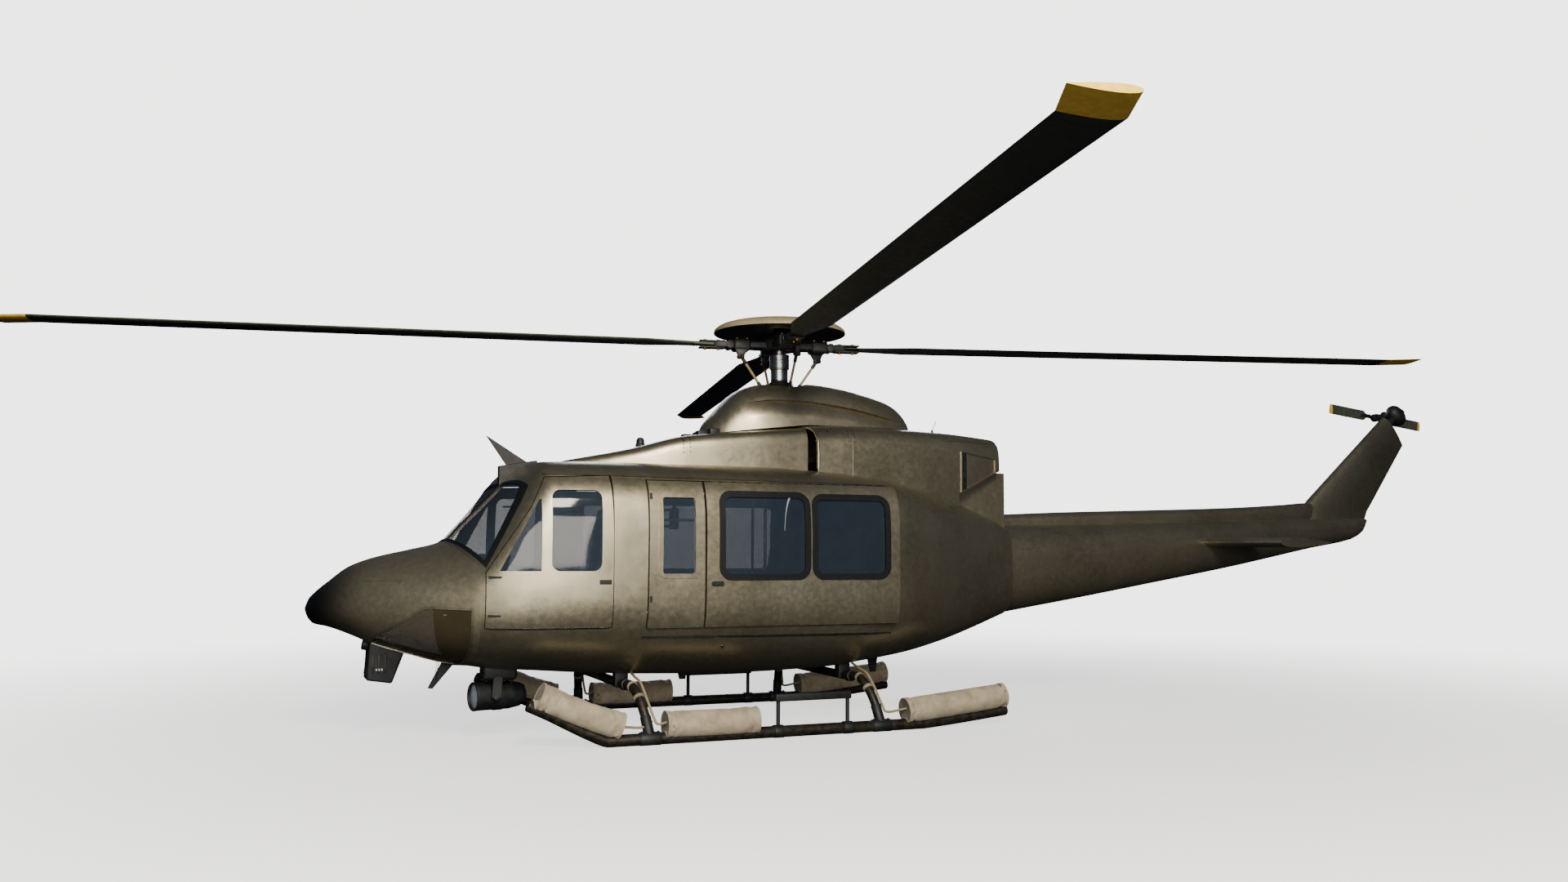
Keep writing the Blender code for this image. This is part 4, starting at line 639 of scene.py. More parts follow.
def prism(outline, low=-BEYOND, high=BEYOND, axis="Y"):
    """Outline pulled from low to high along an axis; the outline is in the other two axes, in order."""
    shape = bmesh.new()
    places = {"X": lambda a, b: (low, a, b), "Y": lambda a, b: (a, low, b), "Z": lambda a, b: (a, b, low)}
    face = shape.faces.new([shape.verts.new(places[axis](a, b)) for a, b in outline])
    pulled = bmesh.ops.extrude_face_region(shape, geom=[face])
    moved = [item for item in pulled["geom"] if isinstance(item, bmesh.types.BMVert)]
    shift = {"X": (high - low, 0, 0), "Y": (0, high - low, 0), "Z": (0, 0, high - low)}[axis]
    bmesh.ops.translate(shape, vec=shift, verts=moved)
    bmesh.ops.recalc_face_normals(shape, faces=shape.faces)
    return shape


def side_prism(outline, side, low=0.2, high=BEYOND):
    return prism(outline, side * low, side * high)


def soften(shape, bevel, segments=2, angle=radians(30)):
    """Rounds the sharp edges of a shape."""
    sharp = [e for e in shape.edges if e.is_manifold and e.calc_face_angle() > angle]
    bmesh.ops.bevel(shape, geom=sharp, offset=bevel, offset_type="OFFSET", segments=segments, profile=0.5,
                    affect="EDGES", clamp_overlap=True, material=-1)
    return shape


def block(low, high, bevel=0.0, segments=2):
    """Box between two corners, its edges bevelled."""
    shape = bmesh.new()
    bmesh.ops.create_cube(shape, size=1.0)
    bmesh.ops.scale(shape, vec=Vector(high) - Vector(low), verts=shape.verts)
    bmesh.ops.translate(shape, vec=(Vector(low) + Vector(high)) / 2, verts=shape.verts)
    return soften(shape, bevel, segments) if bevel else shape


def cylinder(start, end, radius, sides=24, end_radius=None, bevel=0.0):
    """Round bar between two points."""
    start, end = Vector(start), Vector(end)
    shape = bmesh.new()
    along = end - start
    end_radius = radius if end_radius is None else end_radius
    bmesh.ops.create_cone(shape, cap_ends=True, segments=sides, radius1=radius, radius2=end_radius,
                          depth=along.length)
    if bevel:
        soften(shape, bevel, 2, radians(60))
    turn = along.to_track_quat("Z", "Y").to_matrix().to_4x4()
    bmesh.ops.transform(shape, matrix=Matrix.Translation((start + end) / 2) @ turn, verts=shape.verts)
    return shape


def lathe(profile, sides=48, centre=(0, 0, 0)):
    """Turned shape about Z from (radius, height) pairs, which meet the axis or close on themselves."""
    shape = bmesh.new()
    verts = [shape.verts.new((r, 0, z)) for r, z in profile]
    edges = [shape.edges.new(pair) for pair in zip(verts, verts[1:])]
    if profile[0][0] > MERGE:
        edges.append(shape.edges.new((verts[-1], verts[0])))
    bmesh.ops.spin(shape, geom=verts + edges, cent=(0, 0, 0), axis=(0, 0, 1), angle=2 * pi, steps=sides,
                   use_merge=True)
    bmesh.ops.remove_doubles(shape, verts=shape.verts, dist=MERGE)
    bmesh.ops.recalc_face_normals(shape, faces=shape.faces)
    bmesh.ops.translate(shape, vec=centre, verts=shape.verts)
    return shape


def spline(points, count):
    """Smooth curve through points, as count + 1 places evenly spread over its spans."""
    points = [Vector(p) for p in points]
    places = []
    for i in range(count + 1):
        s = (len(points) - 1) * i / count
        k = min(int(s), len(points) - 2)
        t = s - k
        before = points[max(k - 1, 0)]
        a, b = points[k], points[k + 1]
        after = points[min(k + 2, len(points) - 1)]
        places.append(0.5 * (2 * a + (b - before) * t + (2 * before - 5 * a + 4 * b - after) * t * t
                             + (3 * a - before - 3 * b + after) * t ** 3))
    return places


def bridged(rings):
    """Skin through closed rings of places, with filled ends."""
    shape = bmesh.new()
    loops = []
    for ring in rings:
        verts = [shape.verts.new(place) for place in ring]
        loops.append([shape.edges.new((verts[k], verts[(k + 1) % len(verts)])) for k in range(len(verts))])
    for first, second in zip(loops, loops[1:]):
        bmesh.ops.bridge_loops(shape, edges=first + second)
    bmesh.ops.holes_fill(shape, edges=[e for e in shape.edges if e.is_boundary], sides=0)
    bmesh.ops.recalc_face_normals(shape, faces=shape.faces)
    return shape


def tube(path, radius, sides=20):
    """Round tube along a path; radius is a number or a function of the share of the way along."""
    path = [Vector(p) for p in path]
    rings = []
    side = None
    for i, place in enumerate(path):
        along = (path[min(i + 1, len(path) - 1)] - path[max(i - 1, 0)]).normalized()
        if side is None:
            side = along.cross(Vector((0.13, 0.29, 1.0))).normalized()
        side = (side - along * side.dot(along)).normalized()
        other = along.cross(side)
        r = radius(i / (len(path) - 1)) if callable(radius) else radius
        rings.append([place + r * (side * cos(2 * pi * k / sides) + other * sin(2 * pi * k / sides))
                      for k in range(sides)])
    return bridged(rings)


def grow(outline, distance):
    """Outline with every side moved outwards; its points run anticlockwise."""
    grown = []
    count = len(outline)
    for i in range(count):
        before, here, after = (Vector(outline[(i + k) % count]) for k in (-1, 0, 1))
        first, second = (here - before).normalized(), (after - here).normalized()
        out_first, out_second = Vector((first.y, -first.x)), Vector((second.y, -second.x))
        middle = (out_first + out_second) / (1 + out_first.dot(out_second))
        grown.append(tuple(here + middle * distance))
    return grown


def rounded(outline, radius, segments=8):
    """Outline with each corner turned into an arc."""
    points = []
    count = len(outline)
    for i in range(count):
        before, here, after = (Vector(outline[(i + k) % count]) for k in (-1, 0, 1))
        back, ahead = (before - here).normalized(), (after - here).normalized()
        half = back.angle(ahead) / 2
        reach = radius * cos(half) / sin(half)
        centre = here + (back + ahead).normalized() * radius / sin(half)
        start, end = here + back * reach - centre, here + ahead * reach - centre
        first = atan2(start.y, start.x)
        sweep = (atan2(end.y, end.x) - first + pi) % (2 * pi) - pi
        for k in range(segments + 1):
            angle = first + sweep * k / segments
            points.append((centre.x + radius * cos(angle), centre.y + radius * sin(angle)))
    return points


def rectangle(low, high):
    """Outline with its sides along the axes, between two corners."""
    return (low, (high[0], low[1]), high, (low[0], high[1]))


def strip(first, second, width):
    """Thin four-cornered outline along a line between two points."""
    a, b = Vector(first), Vector(second)
    along = (b - a).normalized()
    across = Vector((along.y, -along.x)) * width / 2
    return [tuple(p) for p in (a + across, b + across, b - across, a - across)]


def merged(*shapes):
    """Several shapes as one mesh, without joining their surfaces."""
    whole = shapes[0]
    for other in shapes[1:]:
        passing = bpy.data.meshes.new("passing")
        other.to_mesh(passing)
        whole.from_mesh(passing)
        bpy.data.meshes.remove(passing)
        other.free()
    return whole


def mirrored(shape):
    """Copy of a shape on the other side of the centre plane."""
    other = shape.copy()
    bmesh.ops.scale(other, vec=(1, -1, 1), verts=other.verts)
    bmesh.ops.reverse_faces(other, faces=other.faces)
    return other


def less(tool):
    return "DIFFERENCE", tool


def within(tool):
    return "INTERSECT", tool


def plus(tool):
    return "UNION", tool


def carve(shape, *cuts):
    """Shape after a row of (operation, tool) cuts; the tools are used up."""
    items = []

    def passing(name, form):
        mesh = bpy.data.meshes.new(name)
        form.to_mesh(mesh)
        form.free()
        item = new_object(name, mesh)
        items.append(item)
        return item

    base = passing("passing_base", shape)
    for operation, tool in cuts:
        step = base.modifiers.new(operation, "BOOLEAN")
        step.operation = operation
        step.solver = "MANIFOLD"
        step.object = passing("passing_tool", tool)
    bpy.context.view_layer.update()
    done = base.evaluated_get(bpy.context.evaluated_depsgraph_get()).to_mesh()
    result = bmesh.new()
    result.from_mesh(done)
    for item in items:
        mesh = item.data
        bpy.data.objects.remove(item)
        bpy.data.meshes.remove(mesh)
    return result


def lined(shape, index=1, middle=1.35):
    """Gives the faces that look into the cabin the lining's finish."""
    shape.normal_update()
    for face in shape.faces:
        place = face.calc_center_median()
        out = Vector((0, place.y, place.z - middle)).normalized()
        if face.normal.dot(out) < -0.25:
            face.material_index = index
    return shape


def piece(name, shape, finishes, stands_for="", body="airframe", slot="", crease=32.0):
    """Finished piece from a shape in mast coordinates; its finishes and the nodes it replaces are words."""
    finishes, stands_for = finishes.split(), stands_for.split()
    if not slot:
        slot = next(known for known, group in SLOT_FINISHES.items() if finishes[0] in group.split())
    bmesh.ops.translate(shape, vec=(MAST_X, 0, 0), verts=shape.verts)
    mesh = bpy.data.meshes.new(name)
    shape.to_mesh(mesh)
    shape.free()
    mesh.shade_smooth()
    mesh.set_sharp_from_angle(angle=radians(crease))
    for finish in finishes:
        mesh.materials.append(FINISH[finish])
    item = new_object(name, mesh)
    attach(item, body)
    if stands_for:
        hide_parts(*stands_for)
    return item


def groove(point, stations, outline, side=None, depth=0.005, low=0.2, axis="Y", span=None):
    """Tool that presses a shallow line into a skin."""
    if side is None:
        line = prism(outline, *(span or (-BEYOND, BEYOND)), axis)
    else:
        line = side_prism(outline, side, low)
    return carve(layer(point, stations, -0.02, depth), within(line))


# Camera, floor and light

def build_camera():
    """The photograph's camera, from its solved place, direction and field of view."""
    yaw, pitch, roll = radians(23.448), radians(4.789), radians(0.287)
    forward = Vector((sin(yaw) * cos(pitch), cos(yaw) * cos(pitch), sin(pitch)))
    right = Vector((cos(yaw), -sin(yaw), 0))
    up = right.cross(forward)
    turned_right = right * cos(roll) + up * sin(roll)
    turned_up = up * cos(roll) - right * sin(roll)
    data = bpy.data.cameras.new("camera")
    data.sensor_width = 36.0
    data.lens = 28.986
    data.clip_end = 200.0
    camera = new_object("camera", data)
    rotation = Matrix((turned_right, turned_up, -forward)).transposed().to_4x4()
    camera.matrix_world = Matrix.Translation((-5.996, -11.321, 1.635)) @ rotation
    bpy.context.scene.camera = camera


def area_light(name, place, target, size, power, colour="ffffff"):
    data = bpy.data.lights.new(name, "AREA")
    data.shape = "RECTANGLE"
    data.size, data.size_y = size
    data.energy = power
    data.color = linear(colour)[:3]
    light = new_object(name, data)
    light.location = place
    light.rotation_euler = (Vector(target) - Vector(place)).to_track_quat("-Z", "Y").to_euler()


def build_stage():
    """Floor, backdrop and soft lights."""
    shape = bmesh.new()
    bmesh.ops.create_circle(shape, cap_ends=True, segments=96, radius=90.0)
    mesh = bpy.data.meshes.new("studio_floor")
    shape.to_mesh(mesh)
    shape.free()
    mesh.materials.append(stage_floor("pale_studio_floor"))
    floor = new_object("studio_floor", mesh)
    floor.location.z = -0.002
    world = bpy.data.worlds.new("studio")
    bpy.context.scene.world = world
    world.use_nodes = True
    tree = world.node_tree
    shown = add_node(tree, "Background", {"Color": linear("f6f6f4"), "Strength": PALE})
    light = add_node(tree, "Background", {"Color": linear("7f8ea6"), "Strength": 0.16})
    path = add_node(tree, "LightPath", {})
    both = add_node(
        tree, "MixShader",
        {"Fac": path.outputs["Is Camera Ray"], 1: light.outputs["Background"],
         2: shown.outputs["Background"]})
    set_sockets(tree, tree.nodes["World Output"], {"Surface": both.outputs["Shader"]})
    area_light("key_softbox", (-4.4, -13.5, 8.6), (-1.0, 0.0, 1.5), (4.0, 3.0), 2200.0, "fff3df")
    area_light("side_softbox", (-7.0, -15.0, 3.4), (-2.0, 0.0, 1.6), (12.0, 4.0), 1700.0, "fff8ec")
    area_light("far_softbox", (4.0, 13.0, 6.0), (0.0, 0.0, 1.5), (8.0, 4.0), 900.0, "eef2ff")


# Fuselage

def build_fuselage():
    """Nose, belly, cabin frame and aft fuselage as walls, with their windows."""
    tip = loft(body_point, [*(BODY[0][0] + t for t in (0, 0.006, 0.014, 0.025, 0.04, 0.06, 0.085)),
                            *stations_between(-4.18, RADOME_END - SEAM, 0.03)])
    piece("radome_skin", tip, "nose", "radome")

    nose_stations = stations_between(RADOME_END, -2.95, 0.05)
    nose = layer(body_point, nose_stations, 0, WALL)
    cuts = [within(prism(NOSE_CUT))]
    cuts += [less(side_prism(CHIN_WINDOW, side, CHIN_GAP_Y)) for side in SIDES]
    cuts += [less(groove(body_point, nose_stations, strip((-3.88, 1.335), (-3.60, 1.345), 0.006), side))
             for side in SIDES]
    piece("nose_skin", lined(carve(nose, *cuts), 1, 1.15), "nose inside", "nose_shell", slot="khaki_paint")

    for side, name in SIDE_NAMES.items():
        pane = layer(body_point, nose_stations, 0.006, 0.012)
        piece("chin_pane_" + name,
              carve(pane, within(side_prism(grow(CHIN_WINDOW, 0.001), side, CHIN_GAP_Y))), "bronze",
              "chin_window_" + name)
        edge = layer(body_point, nose_stations, -0.003, 0.010)
        edge = carve(edge, within(side_prism(grow(CHIN_WINDOW, 0.018), side, CHIN_GAP_Y - 0.018)),
                     less(side_prism(grow(CHIN_WINDOW, -0.004), side, CHIN_GAP_Y + 0.004)))
        piece("chin_frame_" + name, edge, "khaki")

    belly_outline = ((NOSE_END + SEAM, 0.2), (CABIN_END - SEAM, 0.2), (CABIN_END - SEAM, SILL_REAR),
                     (SILL_STEP_X, SILL_REAR), (SILL_STEP_X, SILL_FRONT), (NOSE_END + SEAM, SILL_FRONT))
    belly = layer(body_point, stations_between(-3.2, CABIN_END + 0.05), 0, WALL)
    belly = carve(belly, within(prism(belly_outline)))
    piece("belly_skin", lined(belly), "khaki inside", "belly_tub")

    cabin_stations = stations_between(-3.45, CABIN_END - SEAM)
    cabin = layer(body_point, cabin_stations, 0, WALL)
    below = ((-5.0, 0.0), (2.0, 0.0), (2.0, SILL_REAR + SEAM), (SILL_STEP_X, SILL_REAR + SEAM),
             (SILL_STEP_X, SILL_FRONT + SEAM), (NOSE_END + SEAM, SILL_FRONT + SEAM),
             (NOSE_END + SEAM, 1.445 + SEAM), (-3.43 + SEAM, 1.91 + SEAM), (-5.0, 1.91))
    opening = rectangle((PANEL_DOOR[0][0] - DOOR_GAP, 0.9), (CABIN_END + 0.2, DOOR_LINTEL))
    cuts = [less(prism(below))]
    for side in SIDES:
        cuts += [less(side_prism(WINDSCREEN, side, WINDSCREEN_POST)),
                 less(side_prism(CREW_OPENING, side, 0.6)), less(side_prism(opening, side, 0.6))]
    piece("cabin_skin", lined(carve(cabin, *cuts)), "khaki inside", "cabin_frame")

    pane = layer(body_point, stations_between(-3.45, -2.6, 0.03), 0.006, 0.012)
    pane = carve(pane, within(prism(grow(WINDSCREEN, 0.001))))
    piece("windscreen_pane", pane, "clear", "windscreen")
    seal_stations = stations_between(-3.5, -2.55, 0.03)
    seal = layer(body_point, seal_stations, -0.004, 0.012)
    seal = carve(
        seal, within(prism(grow(WINDSCREEN, 0.020))),
        less(side_prism(grow(WINDSCREEN, -0.014), PORT, WINDSCREEN_POST + 0.014)),
        less(side_prism(grow(WINDSCREEN, -0.014), STARBOARD, WINDSCREEN_POST + 0.014)))
    piece("windscreen_seal", seal, "rubber")

    aft = layer(body_point, stations_between(CABIN_END, AFT_END), 0, AFT_WALL)
    cuts = [plus(loft(lambda x, turn: body_point(x, turn, 0.05), [CABIN_END, CABIN_END + 0.03])),
            plus(prism(PYLON, -PYLON_HALF, PYLON_HALF))]
    for side in SIDES:
        pocket = layer(door_point, [0.5, 2.7], -0.3, WALL - DOOR_PROUD + 0.009)
        outline = rectangle((0.5, 0.948), (2.7, 2.198))
        cuts.append(less(carve(pocket, within(side_prism(outline, side, 0.4)))))
    piece("aft_skin", lined(carve(aft, *cuts)), "khaki inside", "aft_fuselage")


def window_pane(name, outline, side, point, stations, outer, body, node=None):
    """Pane set into its opening, just under the skin."""
    pane = layer(point, stations, outer + PANE_DEPTH, outer + PANE_DEPTH + PANE)
    pane = carve(pane, within(side_prism(outline, side)))
    piece(name, pane, "glass", node if node else "", body=body)


def window_ring(name, outline, side, point, stations, outer, body, finish, reach, proud, slot):
    """Raised frame round a window, from just inside its edge to reach outside it."""
    ring = layer(point, stations, outer - proud, outer + PANE_DEPTH)
    ring = carve(ring, within(side_prism(grow(outline, reach), side)),
                 less(side_prism(grow(outline, -0.008), side)))
    piece(name, ring, finish, body=body, slot=slot)


def build_doors():
    """Crew, panel and sliding door of each side, with panes and window rings."""
    for side, name in SIDE_NAMES.items():
        body = "crew_door_" + name
        stations = stations_between(-3.12, -1.90, 0.04)
        main = rounded(CREW_WINDOW, WINDOW_CORNER)
        door = layer(body_point, stations, 0, WALL)
        door = carve(door, within(side_prism(CREW_DOOR, side)), less(side_prism(main, side)),
                     less(side_prism(CREW_QUARTER_WINDOW, side)))
        piece(body + "_skin", lined(door), "khaki inside", body, body=body)
        window_pane("crew_pane_" + name, main, side, body_point, stations, 0.0, body, "crew_glass_" + name)
        window_pane("quarter_pane_" + name, CREW_QUARTER_WINDOW, side, body_point, stations, 0.0, body)

        body = "panel_door_" + name
        stations = stations_between(-1.80, -1.20, 0.05)
        window = rounded(PANEL_WINDOW, 0.03)
        door = layer(door_point, stations, -DOOR_PROUD, WALL - DOOR_PROUD)
        door = carve(door, within(side_prism(PANEL_DOOR, side)), less(side_prism(window, side)))
        piece(body + "_skin", lined(door), "khaki inside", body, body=body)
        window_pane("panel_pane_" + name, window, side, door_point, stations, -DOOR_PROUD, body,
                    "panel_glass_" + name)
        window_ring("panel_window_frame_" + name, window, side, door_point, stations, -DOOR_PROUD, body,
                    "khaki", 0.030, 0.008, "khaki_paint")

        body = "sliding_door_" + name
        stations = stations_between(-1.25, 0.70, 0.05)
        windows = [rounded(SLIDING_WINDOW_FRONT, WINDOW_CORNER), rounded(SLIDING_WINDOW_REAR, WINDOW_CORNER)]
        door = layer(door_point, stations, -DOOR_PROUD, WALL - DOOR_PROUD)
        door = carve(door, within(side_prism(SLIDING_DOOR, side)),
                     *[less(side_prism(window, side)) for window in windows])
        piece(body + "_skin", lined(door), "khaki inside", body, body=body)
        for index, window in enumerate(windows):
            end = ("front", "rear")[index]
            window_pane(f"sliding_pane_{end}_{name}", window, side, door_point, stations, -DOOR_PROUD, body,
                        None if index else "sliding_glass_" + name)
            window_ring(f"sliding_window_rubber_{end}_{name}", window, side, door_point, stations,
                        -DOOR_PROUD, body, "rubber", 0.045, 0.010, "black_paint")


# Cowls

def ledge_wedge(side):
    """Wedge cut from the mast fairing's side: a sharp ledge at its top that fades out below."""
    rings = []
    for k in range(41):
        x = LEDGE_LINE[0][0] + (LEDGE_LINE[-1][0] - LEDGE_LINE[0][0]) * k / 40
        z, depth = smooth(LEDGE_LINE, x)
        top, half = smooth(MAST_FAIRING, x)
        section = (2.2, top, half, 2.70, 2.6, 4.0)
        places = [(skin_y(section, z) + 0.03, z + 0.004)]
        for share in (0.0, 0.12, 0.25, 0.4, 0.55, 0.7, 0.85, 1.0):
            height = z - LEDGE_FADE * share
            places.append((skin_y(section, height) - depth * (1 - share) ** 1.6 + 0.001 * share, height))
        places.append((places[-1][0] + 0.04, places[-1][1]))
        rings.append([(x, side * y, height) for y, height in places])
    return bridged(rings)


def build_cowls():
    """Transmission cowl, engine cowl and mast fairing."""
    grown = loft(lambda x, turn: body_point(x, turn, -0.001), stations_between(-4.2, AFT_END))
    front_point = cowl_point(TRANSMISSION_COWL, 9.0)
    rear_point = cowl_point(ENGINE_COWL, 5.0)
    front_stations = stations_between(-2.15, 0.029)
    front = carve(
        layer(front_point, front_stations, 0, COWL_WALL), less(grown.copy()),
        less(groove(front_point, front_stations,
                    strip((TRANSMISSION_SEAM_X, 2.2), (TRANSMISSION_SEAM_X, 2.8), PANEL_LINE))))
    piece("transmission_cowl_skin", lined(front, 1, 2.3), "khaki inside", "transmission_cowl")
    rear_stations = stations_between(0.030, 2.12)
    rear = carve(
        layer(rear_point, rear_stations, 0, COWL_WALL),
        plus(loft(lambda x, turn: rear_point(x, turn, 0.01), [2.095, 2.12])), less(prism(ENGINE_COWL_CUT)),
        less(grown),
        *[less(cylinder((2.0, side * EXHAUST_Y, EXHAUST_Z), (2.3, side * EXHAUST_Y, EXHAUST_Z), EXHAUST_HOLE,
                        40)) for side in SIDES],
        less(groove(rear_point, rear_stations,
                    strip((ENGINE_SEAM_X, 2.0), (ENGINE_SEAM_X, 2.9), PANEL_LINE))),
        less(groove(rear_point, rear_stations,
                    strip((REAR_HATCH[0], 2.66), (REAR_HATCH[0], 2.9), PANEL_LINE))),
        less(groove(rear_point, rear_stations, strip(REAR_HATCH, (2.2, REAR_HATCH[1]), PANEL_LINE))),
        *[less(groove(rear_point, rear_stations, SCOOP, side, 0.014)) for side in SIDES])
    piece("engine_cowl_skin", lined(rear, 1, 2.3), "khaki inside", "engine_cowl")

    def fairing_point(x, turn, inset=0.0):
        top, half = smooth(MAST_FAIRING, x)
        y, z = inset_oval(turn, inset, (2.2, top, half, 2.70, 2.6, 4.0))
        return Vector((x, y, z))

    foot = ((-3.0, 1.0), (3.0, 1.0), (3.0, 2.82), (0.1, 2.79), (-0.5, 2.725), (-1.13, 2.655), (-3.0, 2.4))
    fairing = carve(
        loft(fairing_point, stations_between(-0.81, 1.395, 0.035)),
        less(block((-0.34, -0.30, 1.9), (1.0, 0.30, 3.06), 0.05)),
        less(cylinder((0, 0, 2.9), (0, 0, 3.5), FAIRING_MOUTH, 64)), less(prism(foot)))
    fairing = carve(fairing, *[less(ledge_wedge(side)) for side in SIDES])
    piece("mast_fairing_skin", fairing, "khaki", "mast_fairing")


# Tail

def aerofoil(chord, thickness, count=16):
    """Closed outline of an aerofoil from nose to tail and back, as (along, across) pairs."""
    upper = []
    for i in range(count + 1):
        s = (1 - cos(pi * i / count)) / 2
        height = 5 * thickness * (0.2969 * s ** 0.5 - 0.1260 * s - 0.3516 * s ** 2 + 0.2843 * s ** 3 - 0.1015
* s ** 4)
        upper.append((chord * s, max(height, 0.02 * thickness)))
    lower = [(a, -b) for a, b in reversed(upper[1:])]
    return [(0.0, 0.0), *upper[1:], *lower]


def fin_shape():
    rings = []
    for z, nose, tail, thickness in FIN:
        rings.append([(nose + a, b, z) for a, b in aerofoil(tail - nose, thickness)])
    return bridged(rings)


def build_tail():
    """Boom, drive-shaft cover, fin and stabilisers."""
    boom_point = pulled_in(BOOM, 2.8)
    stations = [*stations_between(2.3103, 7.45, 0.16), 7.55, 7.60, 7.64, 7.68, 7.72]
    seams = [less(groove(boom_point, stations, strip((2.2, 1.602), (7.6, 1.905), 0.006), side, 0.003, 0.02))
             for side in SIDES]
    piece("tail_boom_skin", carve(loft(boom_point, stations), *seams), "khaki", "tail_boom", crease=40)
    cover = loft(pulled_in(SHAFT_COVER, 3.0), stations_between(2.311, 6.98, 0.12), 56)
    piece("shaft_cover_skin", cover, "khaki", "shaft_cover")
    fin = carve(fin_shape(), less(prism(FIN_TOP, -1, 1)))
    piece("tail_fin_skin", fin, "khaki", "tail_fin", crease=40)
    for side in SIDES:
        rings = [[(STABILISER_X[0] + a, side * y, STABILISER_Z - b) for a, b in aerofoil(0.70, 0.10)]
                 for y in (0.05, STABILISER_TIP)]
        piece("stabiliser_skin_" + SIDE_NAMES[side], bridged(rings), "khaki",
              "stabiliser_" + SIDE_NAMES[side], crease=40)


# Main rotor

def build_main_rotor():
    """Four blades: olive above, yellow at the tips, and black below, the black painting the shade under the
    blades.
    """
    for k, (azimuth, flap) in enumerate(BLADE_STANCES):
        turn = Matrix.Rotation(radians(azimuth), 4, "Z")
        rings = []
        for radius, chord, lead in BLADE_SECTIONS:
            rings.append([(radius, lead - a, ROTOR_Z + b) for a, b in aerofoil(chord, BLADE_THICKNESS)])
        blade = bridged(rings)
        blade.normal_update()
        # Faces that look down get the black finish: painted shade under the blades; the rest are olive and
        # the tips yellow
        for face in blade.faces:
            place = face.calc_center_median()
            if place.x > YELLOW_FROM:
                face.material_index = 2
            elif face.normal.z > -0.35:
                face.material_index = 1
        root = Vector((BLADE_ROOT, 0, ROTOR_Z))
        bmesh.ops.rotate(blade, cent=root, matrix=Matrix.Rotation(radians(-flap), 3, "Y"), verts=blade.verts)
        bmesh.ops.transform(blade, matrix=turn, verts=blade.verts)
        piece(f"main_blade_skin_{k + 1}", blade, "blade olive yellow", f"main_blade_{k + 1}",
              body="main_rotor", crease=40)


# Small shared forms

def placed(place, degrees=0, axis="Z"):
    """Matrix that turns about an axis through the origin and then moves to a place."""
    return Matrix.Translation(place) @ Matrix.Rotation(radians(degrees), 4, axis)


def moved(shape, matrix):
    bmesh.ops.transform(shape, matrix=matrix, verts=shape.verts)
    return shape


def bolt(place, along, radius=0.009, height=0.009):
    """Hexagon head on a washer, standing on a surface."""
    place, along = Vector(place), Vector(along).normalized()
    return merged(
        cylinder(place, place + along * height * 0.3, radius * 1.5, 20),
        cylinder(place + along * height * 0.2, place + along * height, radius, 6, bevel=radius * 0.12))


def bolt_ring(centre, along, ring, count, radius=0.006):
    """Bolts round a flange whose axis points along."""
    centre, along = Vector(centre), Vector(along).normalized()
    side = along.orthogonal().normalized()
    other = along.cross(side)
    angles = [2 * pi * k / count for k in range(count)]
    return merged(*[bolt(centre + ring * (side * cos(a) + other * sin(a)), along, radius) for a in angles])


def body_solid(inset):
    """The fuselage as a solid, to trim what stands on it."""
    return loft(lambda x, turn: body_point(x, turn, inset), stations_between(-4.25, AFT_END, 0.08))


def skin_strip(point, outline, side, outer, inner, start, end, step=0.05):
    """Piece of a skin between two depths, cut to a side outline."""
    return carve(layer(point, stations_between(start, end, step), outer, inner),
                 within(side_prism(outline, side)))


def skin_y(values, z):
    """Half width of a section at a height above its widest line."""
    _, top, half, widest, power, _ = values
    return half * (1 - ((z - widest) / (top - widest)) ** power) ** (1 / power)


def cloth_map(shape):
    """UV map in metres, seen along the axis that each face looks along most."""
    places = shape.loops.layers.uv.new("cloth")
    shape.normal_update()
    for face in shape.faces:
        facing = max(range(3), key=lambda k: abs(face.normal[k]))
        across = [axis for axis in range(3) if axis != facing]
        for loop in face.loops:
            loop[places].uv = [loop.vert.co[axis] for axis in across]
    return shape


def cushion(size, channels=(), crown=0.16):
    """Stuffed cushion about the origin: crowned faces, sides pulled in between the corners, sewn channels.

    Channels are the places across its width, from -1 to 1, where a seam is sewn down.
    """
    shape = bmesh.new()
    bmesh.ops.create_cube(shape, size=2.0)
    bmesh.ops.subdivide_edges(shape, edges=shape.edges[:], cuts=27, use_grid_fill=True)
    for vert in shape.verts:
        p = vert.co
        p /= sum(abs(c) ** 7 for c in p) ** (1 / 7) / max(abs(c) for c in p)
        u, v = p.x, p.y
        pulled = 1 - 0.035 * (1 - v * v) * abs(u) ** 4
        across = 1 - 0.035 * (1 - u * u) * abs(v) ** 4
        swell = 1 + crown * (1 - u * u) * (1 - v * v) - 0.10 * noise.noise(p * 2.3)
        for channel in channels:
            swell -= 0.22 * max(0.0, 1 - abs(v - channel) / 0.05) ** 2
        vert.co = Vector((u * pulled * size[0] / 2, v * across * size[1] / 2, p.z * swell * size[2] / 2))
    welt = [vert.co.copy() for vert in shape.verts if abs(vert.co.z) < size[2] * 0.01]
    welt.sort(key=lambda place: atan2(place.y / size[1], place.x / size[0]))
    return shape, welt


def band(rings):
    """Flat webbing round a body, through four closed rings of places."""
    shape = bmesh.new()
    loops = []
    for ring in rings:
        verts = [shape.verts.new(place) for place in ring]
        loops.append([shape.edges.new((verts[k], verts[(k + 1) % len(verts)])) for k in range(len(verts))])
    for first, second in zip(loops, [*loops[1:], loops[0]]):
        bmesh.ops.bridge_loops(shape, edges=first + second)
    bmesh.ops.recalc_face_normals(shape, faces=shape.faces)
    return shape


